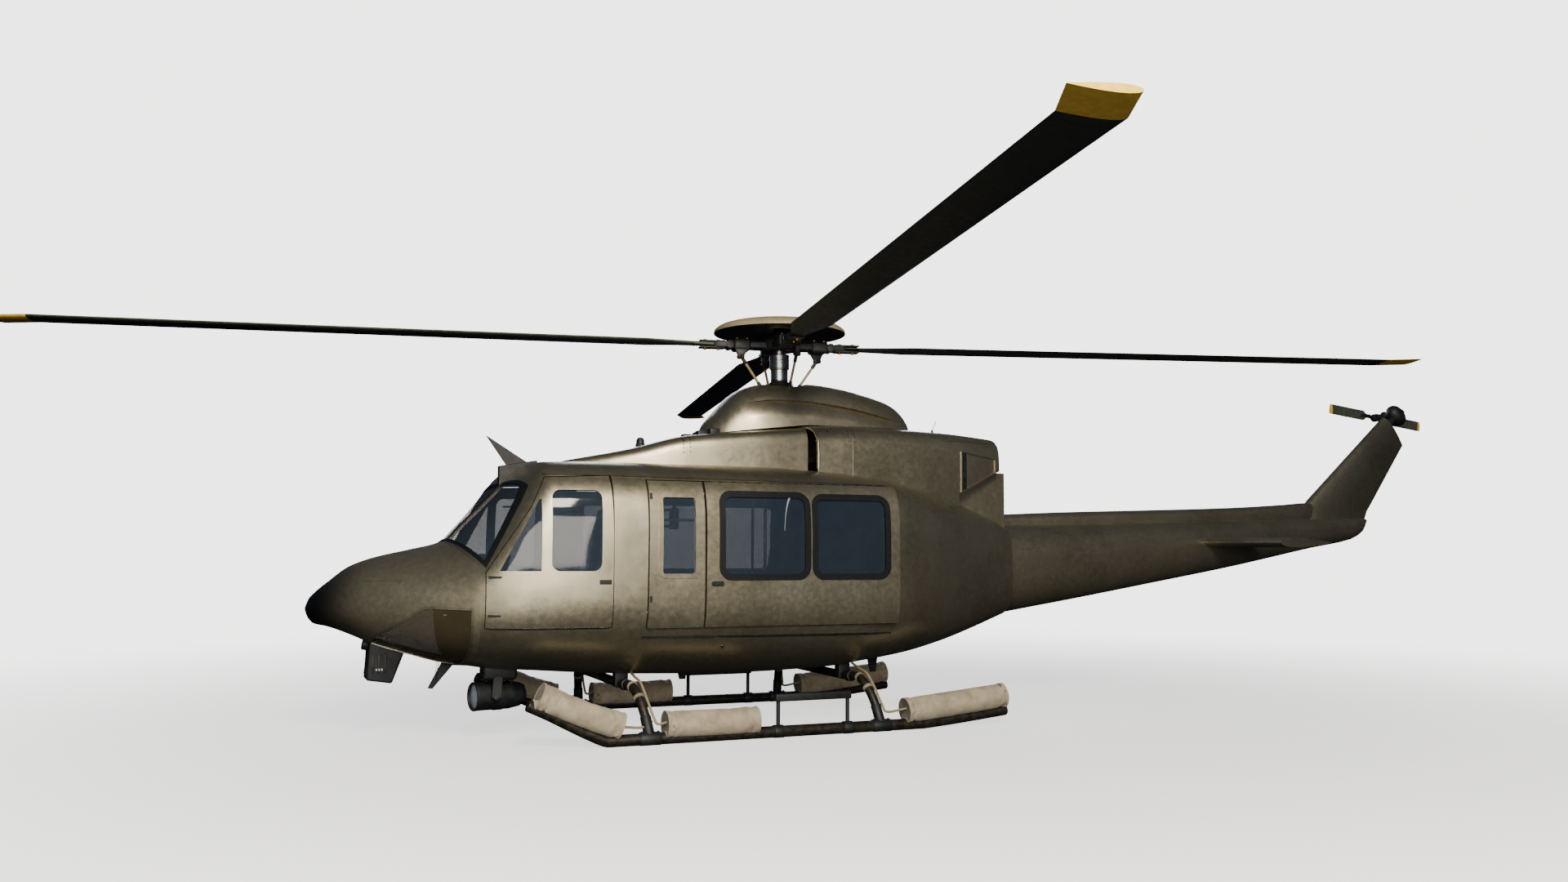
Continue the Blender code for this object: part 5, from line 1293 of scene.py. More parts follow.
def ribbon(path, width, across, thick=0.003):
    """Flat strap along a path, its width lying across."""
    path = [Vector(p) for p in path]
    across = Vector(across).normalized() * width / 2
    rings = []
    for i, place in enumerate(path):
        along = (path[min(i + 1, len(path) - 1)] - path[max(i - 1, 0)]).normalized()
        out = along.cross(across).normalized() * thick / 2
        rings.append(
            [place + across + out, place - across + out, place - across - out, place + across - out])
    return bridged(rings)


# Rotor head

def build_rotor_head():
    """Hub with its arms, grips, horns and pitch links, the mast with its swashplate, and the cap."""
    up = Matrix.Translation((0, 0, ROTOR_Z))
    cap = lathe(CAP_PROFILE, 96, (0, 0, ROTOR_Z))
    cap.normal_update()
    # The cap's underside and lowest rim get the black finish: painted shade under the cap; the faces above
    # stay khaki
    for face in cap.faces:
        above = face.calc_center_median().z > ROTOR_Z + 0.12
        face.material_index = 0 if above and face.normal.z > -0.15 else 1
    under = [edge for edge in cap.edges if edge.calc_face_angle(0) > radians(40)]
    bmesh.ops.bevel(cap, geom=under, offset=0.004, offset_type="OFFSET", segments=2, profile=0.5,
                    affect="EDGES", clamp_overlap=True, material=-1)
    piece("hub_cap_skin", cap, "cap black", "hub_cap", body="main_rotor")
    centre = merged(
        soften(lathe(HUB_PROFILE, 64), 0.006), bolt_ring((0, 0, 0.046), (0, 0, 1), 0.165, 12, 0.010))
    piece("hub_centre", moved(centre, up), "black", "rotor_hub", body="main_rotor")
    for k, (azimuth, _) in enumerate(BLADE_STANCES):
        turn = up @ Matrix.Rotation(radians(azimuth), 4, "Z")
        arm = [soften(prism(ARM, -ARM_HALF, ARM_HALF, "Z"), 0.008)]
        arm.append(soften(block(*GRIP), 0.025, 3))
        arm.append(soften(prism(HORN, *HORN_Y), 0.006))
        for z in (-0.038, 0.024):
            arm.append(block((0.55, -0.062, z), (0.80, 0.062, z + 0.014), 0.005))
        arm.append(cylinder(LUG[0], LUG[1], LUG_RADIUS, 24, bevel=0.003))
        arm.append(cylinder((0.50, -0.09, 0.0), (0.50, 0.09, 0.0), 0.042, 32, bevel=0.006))
        piece(f"blade_grip_{k + 1}", moved(merged(*arm), turn), "black", body="main_rotor")
        bolts = [bolt((x, y, 0.056), (0, 0, 1), 0.011) for x in (0.335, 0.435) for y in (-0.075, 0.075)]
        bolts += [bolt((x, 0, 0.038), (0, 0, 1), 0.017, 0.014) for x in (0.61, 0.74)]
        bolts += [bolt((x, 0, -0.038), (0, 0, -1), 0.017, 0.014) for x in (0.61, 0.74)]
        bolts.append(bolt(LUG[1], (-0.04, 0.06, 0), 0.012))
        piece(f"grip_bolts_{k + 1}", moved(merged(*bolts), turn), "gold", body="main_rotor")
        top, foot = Vector(LINK[0]), Vector(LINK[1])
        down = foot - top
        rod = cylinder(top + down * 0.25, top + down * 0.86, LINK_RADIUS, 20)
        piece(f"pitch_link_rod_{k + 1}", moved(rod, turn), "tan", body="main_rotor")
        ends = [cylinder(top, top + down * 0.26, 0.018, 20, bevel=0.003),
                cylinder(top + down * 0.84, foot, 0.018, 20, bevel=0.003),
                cylinder(foot - Vector((0, 0.02, 0)), foot + Vector((0, 0.02, 0)), 0.022, 20, bevel=0.003)]
        piece(f"pitch_link_ends_{k + 1}", moved(merged(*ends), turn), "black", body="main_rotor")

    piece("mast_sleeve", moved(lathe(MAST_SLEEVE, 64), up), "metal", "mast", body="main_rotor")
    rings = merged(
        *[lathe(((r - 0.01, z), (r, z), (r + 0.002, z + 0.003), (r, z + 0.006), (r - 0.01, z + 0.006)), 64)
          for r, z in GOLD_RINGS])
    piece("mast_rings", moved(rings, up), "gold", body="main_rotor")
    plate = merged(lathe(SWASHPLATE, 64), bolt_ring((0, 0, -0.384), (0, 0, 1), 0.138, 16, 0.006))
    piece("swashplate_ring", moved(plate, up), "black", body="main_rotor")


# Tail rotor

def build_tail_rotor():
    """Two blades with their grips and pitch rods, and the gearbox on the fin."""
    slope = radians(TAIL_BLADE_SLOPE)
    centre = Vector(TAIL_HUB)
    along = Vector((cos(slope), 0, sin(slope)))
    across = Vector((-along.z, 0, along.x))
    for index, way in enumerate((1, -1)):
        rings = []
        for radius, chord in (
            (0.16, 0.05), (0.185, 0.10), (0.21, TAIL_CHORD), (0.50, TAIL_CHORD), (0.735, TAIL_CHORD),
            (TAIL_TIP_RADIUS - 0.012, TAIL_CHORD), (TAIL_TIP_RADIUS, TAIL_CHORD * 0.86)):
            middle = centre + along * way * radius
            rings.append([middle + across * (a - chord / 2) + Vector((0, b, 0))
                          for a, b in aerofoil(chord, TAIL_BLADE_THICKNESS)])
        blade = bridged(rings)
        for face in blade.faces:
            reach = (face.calc_center_median() - centre).length
            face.material_index = 1 if reach > TAIL_YELLOW_FROM else 0
        piece(f"tail_blade_skin_{index + 1}", blade, "tail_blade yellow", "" if index
              else "tail_rotor_blades", body="tail_rotor", crease=40)
        grip = [cylinder(centre, centre + along * way * 0.24, 0.022, 24, bevel=0.003)]
        for y in (-0.018, 0.012):
            low = centre + Vector((0, y, 0)) + along * way * 0.11
            high = centre + Vector((0, y + 0.006, 0)) + along * way * 0.26
            grip.append(
                block([min(a, b) - 0.012 * (i == 2) for i, (a, b) in enumerate(zip(low, high))],
                      [max(a, b) + 0.012 * (i == 2) for i, (a, b) in enumerate(zip(low, high))], 0.002))
        piece(f"tail_grip_{index + 1}", merged(*grip), "black", body="tail_rotor")
        horn = centre + along * way * 0.15 + across * 0.03
        rod = tube([centre + Vector((0, 0.052, 0)) + across * 0.035, horn + Vector((0, 0.02, 0)), horn],
                   0.005, 10)
        piece(f"tail_pitch_rod_{index + 1}", rod, "metal", body="tail_rotor")
    x, y, z = TAIL_HUB
    shaft = merged(
        cylinder((x, 0.19, z), (x, 0.345, z), 0.042, 32, bevel=0.004),
        cylinder((x, 0.265, z), (x, 0.335, z), 0.050, 32, bevel=0.006),
        cylinder((x, 0.345, z), (x, 0.360, z), 0.026, 6, bevel=0.003))
    piece("tail_rotor_hub", shaft, "black", body="tail_rotor")

    lean = placed((x + 0.01, 0, z), -45, "Y")
    dome = lathe((
        (0, -0.138), (0.045, -0.130), (0.075, -0.102), (0.094, -0.060), (0.101, -0.010), (0.108, -0.008),
        (0.108, 0.010), (0.101, 0.012), (0.096, 0.050), (0.082, 0.090), (0.055, 0.122), (0.025, 0.136),
        (0, 0.138)), 48)
    case = merged(
        moved(merged(dome, bolt_ring((0, 0, 0.010), (0, 0, 1), 0.103, 14, 0.004)), lean),
        cylinder((x, 0, z), (x - 0.145, 0, z - 0.145), 0.043, 32),
        cylinder((x, 0.01, z), (x, 0.165, z), 0.056, 40, bevel=0.004),
        cylinder((x, 0.155, z), (x, 0.175, z), 0.064, 40, bevel=0.004),
        moved(bolt_ring((0, 0, 0), (0, 0, 1), 0.052, 8, 0.004), placed((x, 0.168, z), -90, "X")))
    piece("tail_gearbox_case", case, "black", "tail_gearbox")


# Landing gear

def skid_route(side):
    y = side * SKID_Y
    route = spline([(x, y, z) for x, z in SKID_TOE], 40)
    route += [Vector((x, y, SKID_RADIUS)) for x in (-1.2, *SKID_RUN)]
    route += spline([(x, y, z) for x, z in SKID_HEEL], 14)
    for place in route:
        place.z = max(place.z, SKID_RADIUS)
    return route


def build_gear():
    """Skids with their step bars, cross tubes with clamps, and the hoses down their legs."""
    for side, name in SIDE_NAMES.items():
        y = side * SKID_Y
        route = skid_route(side)
        skid = tube(route, SKID_RADIUS, 32)
        skid.normal_update()
        for face in skid.faces:
            if face.normal.z < -0.75 and -2.1 < face.calc_center_median().x < 1.0:
                face.material_index = 1
        toe, heel = (route[0] - route[1]).normalized(), (route[-1] - route[-2]).normalized()
        skid = merged(
            skid,
            cylinder(route[0] - toe * 0.01, route[0] + toe * 0.010, SKID_RADIUS * 0.97, 32, bevel=0.009),
            cylinder(route[-1] - heel * 0.01, route[-1] + heel * 0.010, SKID_RADIUS * 0.97, 32, bevel=0.009))
        piece("skid_tube_" + name, skid, "skid worn", "skid_" + name)
        low = (STEP_BAR_X[0], y - 0.03, STEP_BAR_Z[0])
        step = [block(low, (STEP_BAR_X[1], y + 0.03, STEP_BAR_Z[1]), 0.010, 3)]
        for x in STEP_POSTS_X:
            step.append(cylinder((x, y, 0.06), (x, y, 0.33), 0.018, 24))
            step.append(
                carve(cylinder(
                    (x - 0.045, y, SKID_RADIUS), (x + 0.045, y, SKID_RADIUS), 0.058, 32, bevel=0.004),
                      less(block((x - 0.1, y - 0.1, -0.1), (x + 0.1, y + 0.1, 0.001)))))
        piece("step_bar_" + name, merged(*step), "black")
        grip = [block((STEP_BAR_X[0] + 0.03 + 0.03 * k, y - 0.024, STEP_BAR_Z[1] - 0.001),
                      (STEP_BAR_X[0] + 0.045 + 0.03 * k, y + 0.024, STEP_BAR_Z[1] + 0.002), 0.001, 1)
                for k in range(22)]
        piece("step_tread_" + name, merged(*grip), "rubber")

    for place, x in (("front", FRONT_FOOT_X), ("rear", REAR_FOOT_X)):
        half = spline([(x + lean, y, z) for y, z, lean in CROSS_LEG], 30)
        whole = half + [Vector((p.x, -p.y, p.z)) for p in reversed(half)]
        piece("cross_tube_skin_" + place, tube(whole, CROSS_RADIUS, 32), "skid", "cross_tube_" + place)
        clamps = []
        for side in SIDES:
            y = side * SKID_Y
            saddle = cylinder((x - 0.09, y, SKID_RADIUS), (x + 0.09, y, SKID_RADIUS), 0.058, 36, bevel=0.004)
            clamps.append(carve(saddle, less(block((x - 0.2, y - 0.1, -0.1), (x + 0.2, y + 0.1, 0.001)))))
            leg = [Vector((p.x, -side * p.y, p.z)) for p in half]
            clamps.append(cylinder(leg[1], leg[7], CROSS_RADIUS + 0.006, 32, bevel=0.003))
            clamps += [bolt((x + dx, y, 0.106), (0, 0, 1)) for dx in (-0.07, 0.07)]
            clamps.append(cylinder(leg[22], leg[24], CROSS_RADIUS + 0.008, 32, bevel=0.003))
            clamps.append(block((x - 0.078 - 0.06, side * 0.55 - 0.05, 0.415),
                                (x - 0.078 + 0.06, side * 0.55 + 0.05, 0.56), 0.012))
        piece("cross_tube_clamps_" + place, merged(*clamps), "black")
        hoses = []
        for side in SIDES:
            shift = 0.055 if place == "front" else 0.05
            fall = [(x - 0.03, side * 0.66, 0.56), (x - 0.02, side * 0.80, 0.52),
                    (x + shift - 0.07, side * 0.95, 0.485), (x + shift - 0.05, side * 1.06, 0.37),
                    (x + shift - 0.01, side * 1.13, 0.22)]
            end_x, end_z = BAGS["middle"][0] if place == "front" else BAGS["rear"][0]
            fall += [(x + 0.075, side * 1.16, 0.165), (end_x + 0.02, side * SKID_Y, end_z + 0.02)]
            hoses.append(tube(spline(fall, 40), HOSE_RADIUS, 14))
            if place == "front":
                back_x, back_z = BAGS["front"][1]
                branch = [(x + 0.03, side * 1.145, 0.19), (x - 0.06, side * 1.165, 0.145),
                          (back_x - 0.02, side * SKID_Y, back_z)]
                hoses.append(tube(spline(branch, 16), HOSE_RADIUS, 14))
        piece("inflation_hoses_" + place, merged(*hoses), "hose")
        clips = []
        for side in SIDES:
            for index in (12, 17):
                leg = [Vector((p.x, -side * p.y, p.z)) for p in half]
                clips.append(cylinder(leg[index], leg[index + 1], CROSS_RADIUS + 0.005, 28, bevel=0.002))
        piece("hose_clips_" + place, merged(*clips), "strap", slot="skid_paint")


# Float bags

def bag_rings(start, end, sag, step=0.0165):
    """Rings of a packed bag along a sagging line: tucked-in ends and a skin that is never quite round."""
    start, end = Vector(start), Vector(end)
    count = round((end - start).length / step)
    line = spline([start, (start + end) / 2 - Vector((0, 0, sag)), end], count)
    across = Vector((0, 1, 0))
    shares = (0.08, 0.30, 0.52, 0.72, 0.86, 0.95)
    rows = [(0, share) for share in shares] + [(i, 1.0) for i in range(count + 1)]
    rows += [(count, share) for share in reversed(shares)]
    rings = []
    for i, share in rows:
        along = (line[min(i + 1, count)] - line[max(i - 1, 0)]).normalized()
        up = along.cross(across)
        radius = BAG_RADIUS * (0.945 if i in (0, count) else 0.93)
        inwards = 1 if i == 0 else -1
        centre = line[i] + along * inwards * (0.020 * (1 - share) if share < 1 else 0.0)
        ring = []
        for k in range(BAG_AROUND):
            angle = 2 * pi * k / BAG_AROUND
            side, high = cos(angle), sin(angle)
            rough = 1 + 0.016 * noise.noise(Vector((i * 0.30, side * 1.8 + start.x, high * 1.8)))
            ring.append(centre + share * radius * rough * (across * side + up * high))
        rings.append(ring)
    return rings, len(shares)


def swell(item, held):
    """Blows a closed skin up with a short cloth simulation, held where it is sewn, and keeps the result."""
    at_rest = [vert.co.copy() for vert in item.data.vertices]
    item.vertex_groups.new(name="held").add(held, 1.0, "REPLACE")
    cloth = item.modifiers.new("swell", "CLOTH")
    cloth.settings.quality = 5
    cloth.settings.use_pressure = True
    cloth.settings.uniform_pressure_force = SWELL_PRESSURE
    cloth.settings.shrink_min = -0.03
    cloth.settings.vertex_group_mass = "held"
    cloth.settings.effector_weights.gravity = 0.0
    cloth.point_cache.frame_start = 1
    cloth.point_cache.frame_end = SWELL_FRAMES
    for step in range(1, SWELL_FRAMES + 1):
        bpy.context.scene.frame_set(step)
    done = item.evaluated_get(bpy.context.evaluated_depsgraph_get()).to_mesh()
    places = [vert.co.copy() for vert in done.vertices]
    item.modifiers.clear()
    bpy.context.scene.frame_set(1)
    for vert, before, after in zip(item.data.vertices, at_rest, places):
        shift = after - before
        if shift.length > SWELL_CAP:
            shift *= SWELL_CAP / shift.length
        vert.co = before + shift


def lie_on_tube(place, route):
    """Lifts a point of a bag that would be inside the skid tube onto the tube's upper side."""
    clear = SKID_RADIUS + 0.002
    for first, second in zip(route, route[1:]):
        along = second - first
        share = min(max((place - first).dot(along) / along.length_squared, 0.0), 1.0)
        axis = first + along * share
        if (place - axis).length < clear:
            return Vector((place.x, place.y, axis.z + (clear * clear - place.y * place.y) ** 0.5))
    return place


def build_float_bags():
    """Packed canvas bags on the skid tubes, with sewn rims and darker end faces, which paint the shade of
    the folds rolled up at the ends.
    """
    route = [place - Vector((0, PORT * SKID_Y, 0)) for place in skid_route(PORT)]
    for name, ((start_x, start_z), (end_x, end_z)) in BAGS.items():
        rings, caps = bag_rings(
            (start_x, 0, start_z), (end_x, 0, end_z), 0.012 if name == "front" else 0.002)
        skin = bridged(rings)
        mesh = bpy.data.meshes.new("passing")
        skin.to_mesh(mesh)
        skin.free()
        item = new_object("passing_bag", mesh)
        sewn = [*range(caps + 1), *range(len(rings) - caps - 1, len(rings))]
        swell(item, [row * BAG_AROUND + k for row in sewn for k in range(BAG_AROUND)])
        places = [lie_on_tube(vert.co, route) for vert in mesh.vertices]
        for side in SIDES:
            shift = Vector((0, side * SKID_Y, 0))
            shape = bmesh.new()
            shape.from_mesh(mesh)
            for vert, place in zip(shape.verts, places):
                vert.co = place + shift
            # End faces get the darker cloth: painted shade for the folded ends of each bag
            shape.normal_update()
            for face in shape.faces:
                middle = face.calc_center_median().x
                inner = min(middle - start_x, end_x - middle) < 0.045
                face.material_index = 1 if inner and abs(face.normal.x) > 0.7 else 0
            bag = piece(f"float_bag_{name}_cloth_{SIDE_NAMES[side]}", cloth_map(shape), "cloth dark_cloth",
                        f"float_bag_{name}_{SIDE_NAMES[side]}", crease=60)
            finer = bag.modifiers.new("finer", "SUBSURF")
            finer.levels = finer.render_levels = 1
            rims = []
            for row, inwards in ((caps, 1), (len(rings) - caps - 1, -1)):
                ring = [place + shift for place in places[row * BAG_AROUND:(row + 1) * BAG_AROUND]]
                centre = sum(ring, Vector()) / BAG_AROUND
                beyond = places[(row + inwards * 2) * BAG_AROUND] - places[row * BAG_AROUND]
                along = Vector((beyond.x, 0, beyond.z)).normalized()
                rims.append(
                    band([[place + (place - centre).normalized() * out + along * ahead for place in ring]
                          for out, ahead in (
                                 (-0.001, -0.002), (0.004, -0.001), (0.004, 0.010), (0.0, 0.014))]))
            piece(f"bag_rims_{name}_{SIDE_NAMES[side]}", cloth_map(merged(*rims)), "cloth", crease=60)
        bpy.data.objects.remove(item)


# Cabin

def padded_piece(name, size, place, lean, channels=()):
    """Stuffed cushion with piping round its edge, leaning back by some degrees."""
    shape, welt = cushion(size, channels)
    turn = placed(place, lean, "Y")
    welt = [turn @ p for p in welt]
    item = piece(name, cloth_map(moved(shape, turn)), "seat", crease=60)
    up = turn.to_3x3() @ Vector((0, 0, 1))
    cord = band([[p + up * high + (p - Vector(place)).normalized() * out for p in welt]
                 for high, out in ((0.004, 0.0), (0.0, 0.0045), (-0.004, 0.0), (0.0, -0.003))])
    piece(name + "_piping", cloth_map(cord), "strap")


def build_seats():
    """Crew seats and rear bench: shells on box feet, stuffed cushions, headrests and shoulder straps."""
    groups = [("crew_seat_" + SIDE_NAMES[side], CREW_SEAT, [side * CREW_SEAT_Y], 0.50) for side in SIDES]
    groups.append(("rear_bench", REAR_BENCH, [-0.78, -0.26, 0.26, 0.78], 0.50))
    for name, sizes, middles, width in groups:
        front_x, half_width, depth, top, height = sizes
        pan = FLOOR_TOP + height - 0.09
        foot_x, back_x = front_x + 0.08, front_x + depth
        outline = ((front_x + 0.02, pan), (front_x + 0.02, pan - 0.035), (foot_x, pan - 0.035),
                   (foot_x, FLOOR_TOP + 0.001), (back_x, FLOOR_TOP + 0.001), (back_x + 0.13, top - 0.02),
                   (back_x + 0.10, top - 0.02), (back_x - 0.02, pan))
        middle = sum(middles) / len(middles)
        shell = soften(prism(outline, middle - half_width + 0.02, middle + half_width - 0.02), 0.008)
        piece(name + "_shell", shell, "inside", name, slot="seat_cloth")
        for k, y in enumerate(middles):
            part = f"{name}_{k + 1}" if len(middles) > 1 else name
            padded_piece(part + "_pan", (depth - 0.10, width - 0.03, 0.115),
                         (front_x + depth / 2 - 0.05, y, pan + 0.045), 0.0, (-0.45, 0.45))
            tall = top - pan - 0.20
            lean = 90 - 8
            padded_piece(part + "_back", (tall, width - 0.04, 0.10),
                         (back_x + 0.005, y, pan + 0.10 + tall / 2), -lean, (-0.45, 0.45))
            padded_piece(part + "_headrest", (0.15, 0.26, 0.085), (back_x + 0.075, y, top - 0.075), -lean)
            belts = []
            for dy in (-0.09, 0.09):
                path = spline(
                    [(back_x + 0.03, y + dy, top - 0.15), (back_x - 0.055, y + dy * 1.1, top - 0.32),
                     (back_x - 0.085, y + dy * 1.2, pan + 0.22), (back_x - 0.16, y + dy * 1.5, pan + 0.125)],
                    20)
                belts.append(ribbon(path, 0.045, (0, 1, 0)))
            piece(part + "_belts", cloth_map(merged(*belts)), "strap")


def build_cabin():
    """Instrument console with its screens, sticks, posts, grab rails, and a red bottle on the door post."""
    (low_x, low_y, low_z), (high_x, high_y, high_z) = CONSOLE
    hood = ((low_x, low_z + 0.03), (high_x - 0.03, low_z), (high_x - 0.02, high_z - 0.05),
            (high_x, high_z - 0.02), (high_x - 0.02, high_z), (low_x, high_z - 0.12))
    console = merged(soften(prism(hood, low_y, high_y), 0.012), block(*PEDESTAL, 0.015))
    piece("console_body", console, "black", "instrument_console")
    frames, screens = [], []
    for y in (-0.53, -0.27, 0.0, 0.27, 0.53):
        face_x = high_x - 0.027
        frames.append(
            block((face_x, y - 0.115, low_z + 0.03), (face_x + 0.012, y + 0.115, high_z - 0.065), 0.004))
        screens.append(block((face_x + 0.010, y - 0.095, low_z + 0.05),
                             (face_x + 0.014, y + 0.095, high_z - 0.085), 0.002))
    for k in range(5):
        x = PEDESTAL[0][0] + 0.12 + 0.13 * k
        screens.append(
            block((x, -0.12, PEDESTAL[1][2] - 0.002), (x + 0.10, 0.12, PEDESTAL[1][2] + 0.004), 0.002))
    piece("console_bezels", merged(*frames), "inside")
    piece("console_screens", merged(*screens), "screen")
    knobs = [cylinder((PEDESTAL[0][0] + 0.145 + 0.13 * k, y, PEDESTAL[1][2]),
                      (PEDESTAL[0][0] + 0.145 + 0.13 * k, y, PEDESTAL[1][2] + 0.02), 0.011, 16, bevel=0.002)
             for k in range(5) for y in (-0.09, -0.03, 0.03, 0.09)]
    piece("console_knobs", merged(*knobs), "metal")
    sticks = []
    for side in SIDES:
        y = side * CREW_SEAT_Y
        sticks.append(tube(spline([(-2.50, y, FLOOR_TOP), (-2.53, y, 1.10), (-2.52, y, 1.25),
                                   (-2.47, y, 1.36)], 16), 0.014))
        sticks.append(tube(spline([(-2.47, y, 1.34), (-2.465, y, 1.38), (-2.465, y, 1.46)], 8), 0.021))
        lever_y = y - 0.30
        sticks.append(tube([(-2.02, lever_y, 1.05), (-2.30, lever_y, 1.22), (-2.42, lever_y, 1.30)], 0.017))
    piece("control_sticks", merged(*sticks), "black")
    posts = [tube([(x, y, FLOOR_TOP), (x, y, 2.30)], 0.014, 16) for x in (-1.42, -0.44, 0.02)
             for y in (-0.72, 0.72)]
    piece("cabin_posts", merged(*posts), "metal")
    rails = [tube([(-2.46, side * 1.10, 2.01), (-2.10, side * 1.10, 2.018)], 0.010, 14) for side in SIDES]
    rails += [tube([(-1.53, side * 1.0, 1.856), (-1.20, side * 1.0, 1.86)], 0.011, 14) for side in SIDES]
    piece("grab_rails", merged(*rails), "white")
    bottle = lathe(((0, -0.10), (0.035, -0.098), (0.042, -0.088), (0.042, 0.06), (0.034, 0.08),
                    (0.014, 0.092), (0.014, 0.105), (0, 0.106)), 32, (-1.37, -0.90, 1.88))
    piece("red_bottle", bottle, "red")
    bracket = merged(
        block((-1.40, -0.87, 1.80), (-1.34, -0.70, 1.82), 0.004),
        block((-1.40, -0.87, 1.94), (-1.34, -0.70, 1.96), 0.004),
        block((-1.385, -0.915, 1.982), (-1.345, -0.885, 2.0), 0.004))
    piece("bottle_bracket", bracket, "black")


# Fittings on the doors, the nose and the cowls

def build_door_fittings():
    """Handles, hinge straps and pins, door tracks and rollers, sill plate, drip rail and jack point."""
    for side, name in SIDE_NAMES.items():
        handle = skin_strip(
            body_point, ((-2.125, 1.322), (-1.995 - 0.03, 1.322), (-2.025, 1.360), (-2.125, 1.360)), side,
            -0.004, 0.01, -2.2, -1.95)
        lever = skin_strip(body_point, rounded(rectangle((-2.110, 1.332), (-2.036, 1.350)), 0.008),
                           side, -0.014, 0.0, -2.2, -1.95)
        piece("crew_handle_" + name, merged(handle, lever), "black", body="crew_door_" + name)
        straps = [skin_strip(
            body_point, ((-2.985, z - 0.012), (-2.890, z - 0.007), (-2.890, z + 0.007), (-2.985, z + 0.012)),
            side, -0.005, 0.01, -3.0, -2.85) for z in (1.073, 1.380)]
        piece("crew_hinge_straps_" + name, merged(*straps), "black", body="crew_door_" + name)
        pins = [skin_strip(door_point, rectangle((-1.712, z - 0.025), (-1.690, z + 0.025)), side,
                           -DOOR_PROUD - 0.006, -DOOR_PROUD + 0.01, -1.75, -1.65) for z in (1.20, 2.05)]
        piece("panel_hinge_pins_" + name, merged(*pins), "black", body="panel_door_" + name)
        plate = skin_strip(door_point, rounded(rectangle((-1.175, 1.300), (-1.060, 1.345)), 0.02),
                           side, -DOOR_PROUD - 0.003, -DOOR_PROUD + 0.01, -1.25, -1.0)
        lever = skin_strip(door_point, rounded(rectangle((-1.165, 1.314), (-1.095, 1.331)), 0.007),
                           side, -DOOR_PROUD - 0.014, -DOOR_PROUD, -1.25, -1.0)
        piece("sliding_handle_" + name, merged(plate, lever), "black", body="sliding_door_" + name)
        track = skin_strip(body_point, ((-1.75, 0.878), (0.60, 0.856), (0.60, 0.868), (-1.75, 0.890)), side,
                           -0.010, 0.01, -1.80, CABIN_END)
        piece("door_track_" + name, track, "metal")
        # Black strip above the track: painted shade standing in for the dark channel of the door track
        slot = skin_strip(body_point, ((-1.75, 0.890), (0.60, 0.868), (0.60, 0.874), (-1.75, 0.896)), side,
                          -0.003, 0.01, -1.80, CABIN_END)
        piece("door_track_slot_" + name, slot, "black")
        sill = skin_strip(
            body_point, rectangle((-2.97, 0.962), (-2.03, 0.9725)), side, -0.005, 0.03, -3.0, -2.0)
        piece("crew_sill_plate_" + name, sill, "metal")
        drip = skin_strip(body_point, ((-2.56, 2.222), (0.61, 2.196), (0.61, 2.208), (-2.56, 2.236)), side,
                          -0.012, 0.004, -2.6, CABIN_END)
        piece("drip_rail_" + name, soften(drip, 0.002, 1), "khaki")
        bits = []
        for k in range(15):
            x = -1.15 + 0.118 * k
            bits.append(skin_strip(door_point, rectangle((x, 2.1835), (x + 0.07, 2.1885)), side,
                                   -0.030, 0.0, x - 0.03, x + 0.1))
        piece("door_rail_rollers_" + name, merged(*bits), "metal")
        y = side * (skin_y(smooth(BODY, -1.05), 1.36) - 0.03)
        jack = cylinder(
            (-1.05, y * 0.985, 0.795), (-1.05, y * 0.985 + side * 0.012, 0.79), 0.016, 20, bevel=0.003)
        piece("jack_point_" + name, jack, "metal")


